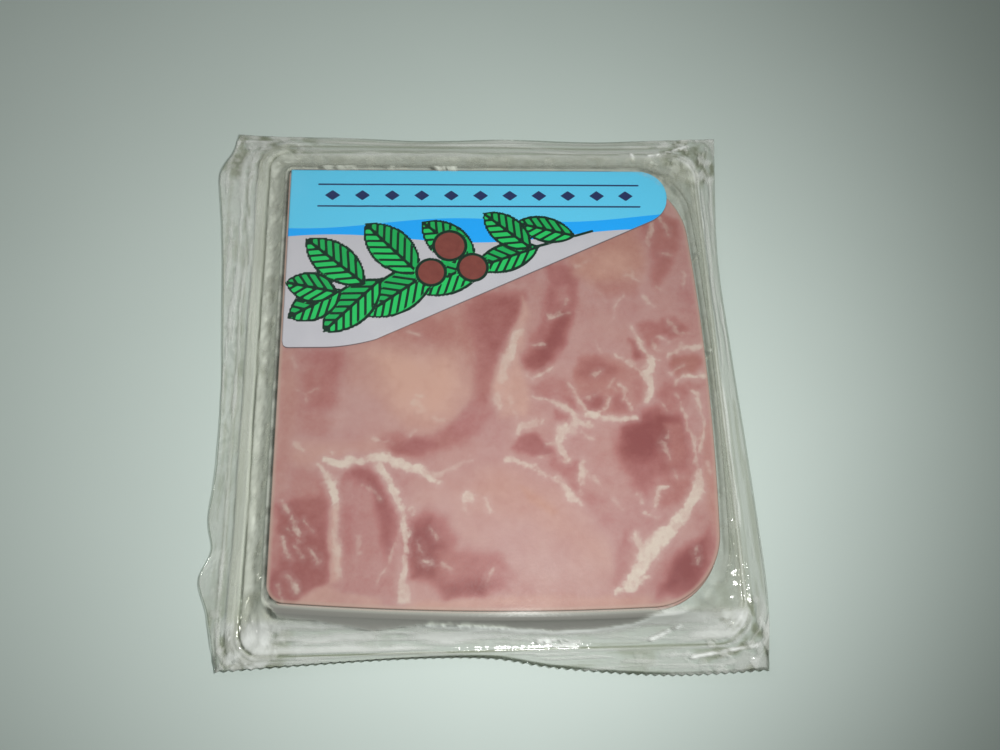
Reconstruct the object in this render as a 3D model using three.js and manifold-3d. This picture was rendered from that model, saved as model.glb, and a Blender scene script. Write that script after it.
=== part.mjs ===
// A vacuum pack of cooked pork shoulder, in millimetres, +Z up, lying with its label upwards.
//
// Four square slices lie in a stack. A formed film passes under them and a second film lies over
// them and over the label. Round the stack the two films slope towards each other, meet at the seal
// and go on together as a margin that waves a little above the table. The margin's front edge is cut
// by a zigzag blade. The origin is on the table, under the middle of the pack.
import * as THREE from "three";
import { mergeVertices } from "three/addons/utils/BufferGeometryUtils.js";
import Module from "manifold-3d";

const wasm = await Module();
wasm.setup();

// ---- Driving dimensions ----

const SLICE_COUNT = 4;
const SLICE_THICKNESS = 2.2;
const GAP = 0.05; // left between pieces that lie on each other

// The slice: its sides before they bow, its corner radii and how far each side bows outwards.
// frontSlant says how far the front side lies further forward at its right end and further back at
// its left.
const SLICE = {
  left: -54.9,
  right: 51.6,
  front: -53.4,
  back: 62.6,
  radius: { frontLeft: 4, frontRight: 16, backRight: 20, backLeft: 2 },
  rightBow: 2.8,
  frontBow: 2,
  frontSlant: 1.5,
};

// What the films' flat middle covers: the slices, and the label's round end, which reaches past the
// slices' corner.
const COVERED = {
  left: -54.9,
  right: 52.6,
  front: -54.4,
  back: 62.6,
  radius: { frontLeft: 3, frontRight: 14, backRight: 14, backLeft: 2 },
  rightBow: 2.6,
  frontBow: 2,
  frontSlant: 1.5,
};

// How each slice below the top one lies: its shift to the right and back, and its growth all round.
const SLICE_LIE = [
  { right: -0.3, back: 0.2, growth: 0.1 },
  { right: 0.4, back: -0.2, growth: -0.2 },
  { right: 0.2, back: -0.6, growth: 0.1 },
  { right: 0, back: 0, growth: 0 },
];

const LOWER_FILM = 0.4;
const UPPER_FILM = 0.3;
const FILM_CLEARANCE = 0.8; // from the covered area's edge to where a film starts to slope
const SHOULDER = 1.4; // how far inside that the films are still flat

// The inner line of the seal.
const SEAL = {
  left: -61.5,
  right: 60.3,
  front: -63.4,
  back: 72,
  radius: { frontLeft: 5, frontRight: 9, backRight: 8, backLeft: 5 },
};
const SEAL_GAP = 0.15; // between the films in the margin

// The margin's height above the table, and its waves along the sides.
const MARGIN_HEIGHT = 2.6;
const MARGIN_DROOP = 1.2; // how much lower the outer edge lies than the seal
const WAVE_HEIGHT = 0.45;
const WAVE_LENGTH = { x: 47, y: 39 };

// The cut edge of the margin, corner to corner, through the points that its pulled-in shape needs.
const CORNER = {
  frontLeft: [-66.9, -66.9],
  frontRight: [63.4, -70.5],
  backRight: [67.2, 78.6],
  backLeft: [-71.3, 79],
};
const FRONT_EDGE = [[-48, -66.1], [-23, -65.3], [-3, -65.8], [13, -68.5], [39, -70.9]];
const RIGHT_EDGE = [[65.5, -52], [65.1, -22], [64.1, 12], [63.8, 42]];
const BACK_EDGE = [[48, 77.4], [-2, 77.3], [-40, 77.4]];
const LEFT_EDGE = [
  [-72.4, 73],
  [-75.5, 65.5],
  [-74.2, 52],
  [-72.4, 32],
  [-71.1, 12],
  [-70.1, -16],
  [-71.2, -31],
  [-70, -39],
  [-72.3, -46],
  [-69.6, -54],
];

const TOOTH_PITCH = 2.1;
const TOOTH_DEPTH = 0.5;

// The label: a sheet with a square left end, a round right end and a slanting lower side.
const LABEL = {
  thickness: 0.2,
  left: -54.3,
  right: 48.6,
  back: 62.1,
  front: 10.2,
  endRadius: 7.6,
  cornerRadius: 1.8,
  slantStart: -38, // where the lower side leaves the front side
  slantEnd: [43.6, 46.4], // where it meets the round end
};

// How finely the loops are divided: each side of a loop has this many steps.
const CORNER_STEPS = 4; // in half a corner
const SIDE_STEPS = 20; // between the corners

// ---- Materials ----

const porkMaterial = new THREE.MeshStandardMaterial({
  color: 0xcf9793,
  roughness: 0.35,
  metalness: 0,
});
const labelMaterial = new THREE.MeshStandardMaterial({
  color: 0x63bdec,
  roughness: 0.3,
  metalness: 0,
});
const filmMaterial = new THREE.MeshStandardMaterial({
  color: 0xdce4df,
  roughness: 0.1,
  metalness: 0,
  transparent: true,
  opacity: 0.3,
});

// ---- Loops: closed rows of points that match each other point by point ----

// Points round a rectangle with its own radius at each corner, counter-clockwise from the middle of
// the front left corner. A side starts at the middle of one corner and ends at the middle of the next.
function roundedLoop({ left, right, front, back, radius }, growth = 0) {
  const corners = [
    [left, front, 1, 1, radius.frontLeft],
    [right, front, -1, 1, radius.frontRight],
    [right, back, -1, -1, radius.backRight],
    [left, back, 1, -1, radius.backLeft],
  ];
  const arcPoint = (index, angle) => {
    const [x, y, inX, inY, r] = corners[index % 4];
    return new THREE.Vector2(
      x + inX * r + (r + growth) * Math.cos(angle),
      y + inY * r + (r + growth) * Math.sin(angle),
    );
  };
  const points = [];
  for (let side = 0; side < 4; side++) {
    const outward = (side - 1) * (Math.PI / 2); // the direction this side faces
    const from = outward - Math.PI / 4;
    for (let i = 0; i < CORNER_STEPS; i++)
      points.push(arcPoint(side, from + (i / CORNER_STEPS) * (Math.PI / 4)));
    const start = arcPoint(side, outward);
    const end = arcPoint(side + 1, outward);
    for (let i = 0; i < SIDE_STEPS; i++) points.push(start.clone().lerp(end, i / SIDE_STEPS));
    for (let i = 0; i < CORNER_STEPS; i++)
      points.push(arcPoint(side + 1, outward + (i / CORNER_STEPS) * (Math.PI / 4)));
  }
  return points;
}

// A slice's outline, or the covered area's: a rounded loop whose right and front sides bow outwards.
function bowedLoop(shape, growth = 0, shiftRight = 0, shiftBack = 0) {
  const midX = (shape.left + shape.right) / 2;
  const midY = (shape.front + shape.back) / 2;
  const halfX = (shape.right - shape.left) / 2;
  const halfY = (shape.back - shape.front) / 2;
  return roundedLoop(shape, growth).map(({ x, y }) => {
    const across = (x - midX) / halfX;
    const along = (y - midY) / halfY;
    const toRight = Math.max(0, across);
    const toFront = Math.max(0, -along);
    return new THREE.Vector2(
      x + shape.rightBow * toRight * (1 - along * along) + shiftRight,
      y - toFront * (shape.frontBow * (1 - across * across) + shape.frontSlant * across) + shiftBack,
    );
  });
}

const innerLoop = bowedLoop(COVERED, FILM_CLEARANCE);
const sealLoop = roundedLoop(SEAL);

// The margin's cut edge, with its points spaced as the seal's points are.
const edgeCurves = [
  [CORNER.frontLeft, ...FRONT_EDGE, CORNER.frontRight],
  [CORNER.frontRight, ...RIGHT_EDGE, CORNER.backRight],
  [CORNER.backRight, ...BACK_EDGE, CORNER.backLeft],
  [CORNER.backLeft, ...LEFT_EDGE, CORNER.frontLeft],
].map((points) => new THREE.SplineCurve(points.map(([x, y]) => new THREE.Vector2(x, y))));

function cutEdgeLoop() {
  const steps = 2 * CORNER_STEPS + SIDE_STEPS;
  const loop = [];
  edgeCurves.forEach((curve, side) => {
    const reached = [0];
    for (let i = 0; i < steps; i++) {
      const a = sealLoop[side * steps + i];
      const b = sealLoop[(side * steps + i + 1) % sealLoop.length];
      reached.push(reached[i] + a.distanceTo(b));
    }
    for (let i = 0; i < steps; i++) loop.push(curve.getPointAt(reached[i] / reached[steps]));
  });
  return loop;
}

const edgeLoop = cutEdgeLoop();

// ---- Heights ----

const sliceBottom = (index) => LOWER_FILM + GAP + index * (SLICE_THICKNESS + GAP);
const labelBottom = sliceBottom(SLICE_COUNT);
const upperFilmMiddle = labelBottom + LABEL.thickness + GAP + UPPER_FILM / 2;

// The height of the middle of the lower film in the margin. outward goes from 0 at the seal to 1 at
// the cut edge.
function marginHeight({ x, y }, outward) {
  const wave =
    Math.sin((2 * Math.PI * x) / WAVE_LENGTH.x + 0.8) *
    Math.cos((2 * Math.PI * y) / WAVE_LENGTH.y - 0.5);
  return MARGIN_HEIGHT - MARGIN_DROOP * outward + WAVE_HEIGHT * (0.3 + outward) * wave;
}

// ---- Films ----

const loopBetween = (a, b, share) => a.map((point, i) => point.clone().lerp(b[i], share));
const raise = (loop, height) => loop.map((p) => new THREE.Vector3(p.x, p.y, height(p)));

// The rows of a film from its flat middle to the cut edge. level is the height of the flat middle,
// lift the height above the lower film in the margin, and fall(share) how much of the way from the
// level to the margin the film has gone at each share of the slope.
function filmRows(level, lift, fall) {
  const slope = [0.12, 0.32, 0.6, 1];
  const margin = [0.4, 0.8, 1];
  return [
    raise(bowedLoop(COVERED, FILM_CLEARANCE - SHOULDER), () => level),
    raise(innerLoop, () => level),
    ...slope.map((share) =>
      raise(
        loopBetween(innerLoop, sealLoop, share),
        (p) => level + (marginHeight(p, 0) + lift - level) * fall(share),
      ),
    ),
    ...margin.map((share) =>
      raise(loopBetween(sealLoop, edgeLoop, share), (p) => marginHeight(p, share) + lift),
    ),
  ];
}

// A closed sheet round rows of points, each a closed loop, with the first row filled by a fan. Both
// faces lie half the thickness from the rows, along the surface's normal.
function sheetGeometry(rows, thickness) {
  const count = rows[0].length;
  const centre = new THREE.Vector3(0, 0, rows[0][0].z);
  const points = [centre, ...rows.flat()];
  const at = (row, i) => 1 + row * count + (i % count);
  const faces = [];
  for (let i = 0; i < count; i++) {
    faces.push([0, at(0, i), at(0, i + 1)]);
    for (let row = 0; row + 1 < rows.length; row++) {
      faces.push([at(row, i), at(row + 1, i), at(row + 1, i + 1)]);
      faces.push([at(row, i), at(row + 1, i + 1), at(row, i + 1)]);
    }
  }
  const middle = new THREE.BufferGeometry().setFromPoints(points);
  middle.setIndex(faces.flat());
  middle.computeVertexNormals();
  const normals = middle.getAttribute("normal");
  const face = (side) =>
    points.map((point, i) =>
      point
        .clone()
        .addScaledVector(new THREE.Vector3().fromBufferAttribute(normals, i), (side * thickness) / 2),
    );
  const below = points.length;
  const closed = [...faces, ...faces.map(([a, b, c]) => [a + below, c + below, b + below])];
  const last = rows.length - 1;
  for (let i = 0; i < count; i++) {
    const [a, b] = [at(last, i), at(last, i + 1)];
    closed.push([a, a + below, b + below], [a, b + below, b]);
  }
  const geometry = new THREE.BufferGeometry().setFromPoints([...face(1), ...face(-1)]);
  return geometry.setIndex(closed.flat());
}

// ---- The zigzag cut of the front edge ----

function solidOf(geometry) {
  const bare = geometry.clone();
  bare.deleteAttribute("normal");
  bare.deleteAttribute("uv");
  const merged = mergeVertices(bare, 1e-4);
  return new wasm.Manifold(
    new wasm.Mesh({
      numProp: 3,
      vertProperties: new Float32Array(merged.getAttribute("position").array),
      triVerts: new Uint32Array(merged.index.array),
    }),
  );
}

function geometryOf(solid) {
  const { vertProperties, triVerts } = solid.getMesh();
  return new THREE.BufferGeometry()
    .setAttribute("position", new THREE.BufferAttribute(vertProperties, 3))
    .setIndex(new THREE.BufferAttribute(triVerts, 1));
}

// What the blade takes away: everything in front of a zigzag line along the front edge, which runs
// from a tooth's tip on the edge to a root behind it and back.
function bladeGeometry() {
  const frontEdge = edgeCurves[0];
  const teeth = Math.round(frontEdge.getLength() / TOOTH_PITCH);
  const zigzag = [];
  for (let i = 0; i <= 2 * teeth; i++) {
    const point = frontEdge.getPointAt(i / (2 * teeth));
    zigzag.push(new THREE.Vector2(point.x, point.y + (i % 2 ? TOOTH_DEPTH : 0)));
  }
  const reach = 5;
  const outside = [
    new THREE.Vector2(CORNER.frontRight[0], CORNER.frontRight[1] - reach),
    new THREE.Vector2(CORNER.frontLeft[0], CORNER.frontRight[1] - reach),
  ];
  const geometry = new THREE.ExtrudeGeometry(new THREE.Shape([...zigzag, ...outside]), {
    depth: 2 * MARGIN_HEIGHT + 2,
    bevelEnabled: false,
  });
  return geometry.translate(0, 0, -1);
}

const blade = solidOf(bladeGeometry());

const filmMesh = (rows, thickness) =>
  new THREE.Mesh(geometryOf(solidOf(sheetGeometry(rows, thickness)).subtract(blade)), filmMaterial);

function lowerFilm() {
  const rows = filmRows(LOWER_FILM / 2, 0, (share) => Math.pow(share, 0.8));
  return filmMesh(rows, LOWER_FILM);
}

function upperFilm() {
  const lift = (LOWER_FILM + UPPER_FILM) / 2 + SEAL_GAP;
  const rows = filmRows(upperFilmMiddle, lift, (share) => 1 - Math.pow(1 - share, 1.8));
  return filmMesh(rows, UPPER_FILM);
}

// ---- Contents ----

function slice(index) {
  const { right, back, growth } = SLICE_LIE[index];
  const geometry = new THREE.ExtrudeGeometry(new THREE.Shape(bowedLoop(SLICE, growth, right, back)), {
    depth: SLICE_THICKNESS,
    bevelEnabled: false,
  });
  const mesh = new THREE.Mesh(geometry, porkMaterial);
  mesh.position.z = sliceBottom(index);
  return mesh;
}

function label() {
  const { left, right, back, front, endRadius, cornerRadius, slantStart, slantEnd } = LABEL;
  const shape = new THREE.Shape();
  shape.moveTo(left, back);
  shape.lineTo(left, front + cornerRadius);
  shape.quadraticCurveTo(left, front, left + cornerRadius, front);
  shape.lineTo(slantStart - 6, front);
  shape.quadraticCurveTo(slantStart, front, slantStart + 7, front + 2);
  shape.lineTo(...slantEnd);
  shape.quadraticCurveTo(right, slantEnd[1] + 2.6, right, back - endRadius);
  shape.absarc(right - endRadius, back - endRadius, endRadius, 0, Math.PI / 2, false);
  shape.closePath();
  const geometry = new THREE.ExtrudeGeometry(shape, {
    depth: LABEL.thickness,
    bevelEnabled: false,
    curveSegments: 8,
  });
  const mesh = new THREE.Mesh(geometry, labelMaterial);
  mesh.position.z = labelBottom;
  return mesh;
}

// ---- The pack ----

const contents = new THREE.Group();
const named = (name, mesh) => {
  mesh.name = name;
  contents.add(mesh);
};
named("lower_film", lowerFilm());
for (let i = 0; i < SLICE_COUNT; i++) named(`slice_${i + 1}`, slice(i));
named("label", label());
named("upper_film", upperFilm());

// The pack is moved so that the origin is under its middle.
const box = new THREE.Box3().setFromObject(contents);
const middle = box.getCenter(new THREE.Vector3());
contents.position.set(-middle.x, -middle.y, 0);

const pack = new THREE.Group();
pack.add(contents);

export default pack;
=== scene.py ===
# %% [markdown]
# # A vacuum pack of cooked pork shoulder
# The pack is a stack of square pork slices between two clear films. The films are drawn tight over
# the stack, meet at a seal and go on as a crumpled margin. A printed label lies on the top slice.
#
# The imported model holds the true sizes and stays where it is. Each cell below makes one piece of the
# real thing as a surface, puts it in the place of its plain solid, and gives it a finish.

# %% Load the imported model
from math import pi, radians

import bpy
import numpy as np
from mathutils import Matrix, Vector


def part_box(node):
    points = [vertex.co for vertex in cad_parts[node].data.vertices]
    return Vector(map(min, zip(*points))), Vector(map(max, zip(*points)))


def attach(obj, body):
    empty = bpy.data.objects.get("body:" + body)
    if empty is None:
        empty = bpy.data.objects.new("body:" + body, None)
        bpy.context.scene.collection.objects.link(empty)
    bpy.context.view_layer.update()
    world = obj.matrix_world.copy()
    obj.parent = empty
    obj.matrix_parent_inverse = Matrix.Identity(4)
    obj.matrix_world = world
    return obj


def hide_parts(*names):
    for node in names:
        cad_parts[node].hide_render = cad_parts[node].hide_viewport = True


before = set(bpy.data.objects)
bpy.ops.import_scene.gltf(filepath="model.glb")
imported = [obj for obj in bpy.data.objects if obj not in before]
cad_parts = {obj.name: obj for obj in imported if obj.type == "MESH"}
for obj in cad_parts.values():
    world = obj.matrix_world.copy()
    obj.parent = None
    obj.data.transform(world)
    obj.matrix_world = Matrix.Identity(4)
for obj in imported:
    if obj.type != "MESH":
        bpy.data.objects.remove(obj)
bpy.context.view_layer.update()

# %% [markdown]
# ## The datum
# Everything below is written in millimetres from one datum point near the slice's middle, because
# a slice, a seal and a cut edge are easiest to give as distances from it. The top slice's left and
# back sides are straight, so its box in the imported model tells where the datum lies.

# %% Find the datum
MM = 0.001
SLICE_BOX = np.array([-54.9, 51.6, -53.4, 62.6])  # left, right, front, back, before the sides bow
slice_low, slice_high = (np.array(corner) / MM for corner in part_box("slice_4"))
datum = np.array([slice_low[0] - SLICE_BOX[0], slice_high[1] - SLICE_BOX[3], 0.0])
print("datum in mm:", datum.round(2))

# %% [markdown]
# ## The camera
# It looks down from a little in front of the pack. It comes first, because the light and the finish
# are judged through it.

# %% Place the camera
CAMERA_FROM_DATUM = np.array([-13.5, -67.8, 212.9])  # mm
CAMERA_TURN = (radians(19.12), radians(-3.38), radians(-1.78))
FIELD_PIXELS, FRAME_PIXELS = 850, 1000  # the focal length and the frame's width
SENSOR = 36.0  # mm

camera_data = bpy.data.cameras.new("camera")
camera_data.sensor_width = SENSOR
camera_data.lens = SENSOR * FIELD_PIXELS / FRAME_PIXELS
camera_data.clip_start = 0.005
camera = bpy.data.objects.new("camera", camera_data)
camera.location = (datum + CAMERA_FROM_DATUM) * MM
camera.rotation_euler = CAMERA_TURN
bpy.context.scene.collection.objects.link(camera)
bpy.context.scene.camera = camera
print("camera at", tuple(round(v, 4) for v in camera.location))

# %% [markdown]
# ## Noise and meshes
# Real meat and film are uneven at every size. Value noise gives that: random numbers on a square
# lattice, blended smoothly between its points, and several sizes of it added up. It could come from
# an image, but a formula stays sharp and repeats exactly.

# %% Noise in two dimensions
FOUR_LAYERS = 1.9  # about what the heights of four layers add up to


def value_noise(x, y, seed):
    """Random heights from -1 to 1 on whole-number points, blended by 3w^2 - 2w^3 between them."""
    heights = np.random.default_rng(seed).uniform(-1, 1, (256, 256))
    column, row = np.floor(x).astype(int), np.floor(y).astype(int)
    across, along = x - column, y - row
    across, along = across**2 * (3 - 2 * across), along**2 * (3 - 2 * along)
    near = heights[column % 256, row % 256] * (1 - across) + heights[(column + 1) % 256, row % 256] * across
    far = heights[column % 256, (row + 1) % 256] * (1 - across)
    far = far + heights[(column + 1) % 256, (row + 1) % 256] * across
    return near * (1 - along) + far * along


def fractal_noise(xy, size, seed, octaves=4):
    """Layers of value noise, each half the size and half the height of the one before."""
    total = 0
    for layer in range(octaves):
        scale = 2**layer / size
        total = total + value_noise(xy[..., 0] * scale, xy[..., 1] * scale, seed + layer) / 2**layer
    return total / FOUR_LAYERS


def smooth_step(low, high, value):
    """0 below low, 1 above high and a smooth S between them."""
    share = np.clip((value - low) / (high - low), 0, 1)
    return share**2 * (3 - 2 * share)


def spread(values):
    """The values with their mean taken off, over their standard deviation."""
    return (values - values.mean()) / values.std()


some_points = np.random.default_rng(1).uniform(0, 90, (999, 2))
print("noise spread:", fractal_noise(some_points, 9, 5).std().round(3))

# %% Put arrays into a mesh
def add_piece(name, points, faces, attributes=None):
    """A smooth-shaded mesh from points in mm from the datum, which become metres in its vertices."""
    mesh = bpy.data.meshes.new(name)
    mesh.from_pydata(((points + datum) * MM).tolist(), [],
                     [face for block in faces for face in block.tolist()])
    mesh.shade_smooth()
    for label, values in (attributes or {}).items():
        layer = mesh.attributes.new(label, "FLOAT", "POINT")
        layer.data.foreach_set("value", np.ascontiguousarray(values, dtype=np.float32))
    piece = bpy.data.objects.new(name, mesh)
    bpy.context.scene.collection.objects.link(piece)
    print(f"{name}: {len(points)} points, {len(mesh.polygons)} faces")
    return piece


def grid_faces(columns, rows, first=0):
    """The quads of a grid of points stored row by row, counter-clockwise seen from above."""
    corner = first + np.arange(rows - 1)[:, None] * columns + np.arange(columns - 1)
    return np.stack([corner, corner + 1, corner + columns + 1, corner + columns], -1).reshape(-1, 4)


def band_faces(count, rows, first=0):
    """The quads between rows of points that each run once round a loop of count points."""
    here = np.arange(count)
    after = (here + 1) % count
    start = first + np.arange(rows - 1)[:, None] * count
    quads = [start + here, start + count + here, start + count + after, start + after]
    return np.stack(quads, -1).reshape(-1, 4)


print("a grid of 3 by 2 points has the quads", grid_faces(3, 2).tolist())

# %% [markdown]
# ## The slice's outline
# A slice of pressed shoulder is a rounded square. Its right and front sides bow a little, because
# the meat pushed the mould's wall out. The outline is one function of u, which runs from 0 to 4
# round the four sides. The films use it too, with a larger shape, so that they always fit the stack.

# %% Outline functions
# Radii: front left, front right, back right, back left. The slant moves the front side forward at its
# right end and back at its left.
SLICE = {"box": SLICE_BOX, "radii": np.array([4.0, 16.0, 20.0, 2.0]),
         "right_bow": 2.8, "front_bow": 2.0, "front_slant": 1.5}
# What the films' flat middle covers: the slices and the label's round end, which reaches past them
COVERED = {"box": np.array([-54.9, 52.6, -54.4, 62.6]), "radii": np.array([3.0, 14.0, 14.0, 2.0]),
           "right_bow": 2.6, "front_bow": 2.0, "front_slant": 1.5}


def rounded_loop(u, box, radii, growth=0.0):
    """Points round a rectangle with round corners, growth mm outside it. Side k covers u from k to
    k + 1, from the middle of one corner's arc to the middle of the next, at a steady speed."""
    left, right, front, back = box
    corners = np.array([[left, front], [right, front], [right, back], [left, back]])
    centres = corners + np.array([[1, 1], [-1, 1], [-1, -1], [1, -1]]) * radii[:, None]
    reach = radii + growth
    side = np.floor(u).astype(int) % 4
    after = (side + 1) % 4
    facing = (side - 1) * pi / 2
    along = np.stack([-np.sin(facing), np.cos(facing)], -1)
    straight = ((centres[after] - centres[side]) * along).sum(-1)
    first, last = reach[side] * pi / 4, reach[after] * pi / 4
    travelled = (u - np.floor(u)) * (first + straight + last)
    on_last = travelled > first + straight
    turn = np.minimum(travelled - first, 0) / reach[side]
    turn = turn + np.maximum(travelled - first - straight, 0) / reach[after]
    angle = facing + turn
    centre = np.where(on_last[..., None], centres[after], centres[side])
    radius = np.where(on_last, reach[after], reach[side])
    run = np.where(on_last, 0, np.clip(travelled - first, 0, straight))
    return centre + radius[..., None] * np.stack([np.cos(angle), np.sin(angle)], -1) + run[..., None] * along


def bowed(xy, shape):
    """Moves points right and forward as a shape's sides bow: by 1 - s^2, s from -1 to 1 along."""
    left, right, front, back = shape["box"]
    across = (xy[..., 0] - (left + right) / 2) * 2 / (right - left)
    along = (xy[..., 1] - (front + back) / 2) * 2 / (back - front)
    right_move = shape["right_bow"] * np.maximum(across, 0) * (1 - along**2)
    forward = shape["front_bow"] * (1 - across**2) + shape["front_slant"] * across
    return xy + np.stack([right_move, -np.maximum(-along, 0) * forward], -1)


def bowed_loop(u, shape, growth=0.0):
    """The rounded rectangle's loop, growth mm outside it, with its sides bowed."""
    return bowed(rounded_loop(u, shape["box"], shape["radii"], growth), shape)


def box_distance(xy, box, radii):
    """Distance outside a rectangle with round corners: that to the rectangle drawn in by the
    radius, less the radius, and negative inside."""
    left, right, front, back = box
    x, y = xy[..., 0] - (left + right) / 2, xy[..., 1] - (front + back) / 2
    radius = np.where(y < 0, np.where(x < 0, radii[0], radii[1]), np.where(x > 0, radii[2], radii[3]))
    over_x, over_y = np.abs(x) - (right - left) / 2 + radius, np.abs(y) - (back - front) / 2 + radius
    inside = np.minimum(np.maximum(over_x, over_y), 0)
    return inside + np.hypot(np.maximum(over_x, 0), np.maximum(over_y, 0)) - radius


def slice_distance(xy, growth=0.0):
    """Distance outside a slice's outline: the rectangle's, at the point before its bow."""
    return box_distance(2 * xy - bowed(xy, SLICE), SLICE["box"], SLICE["radii"]) - growth


print("the slice measures", np.ptp(bowed_loop(np.linspace(0, 4, 800), SLICE), axis=0).round(1), "mm")
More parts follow.
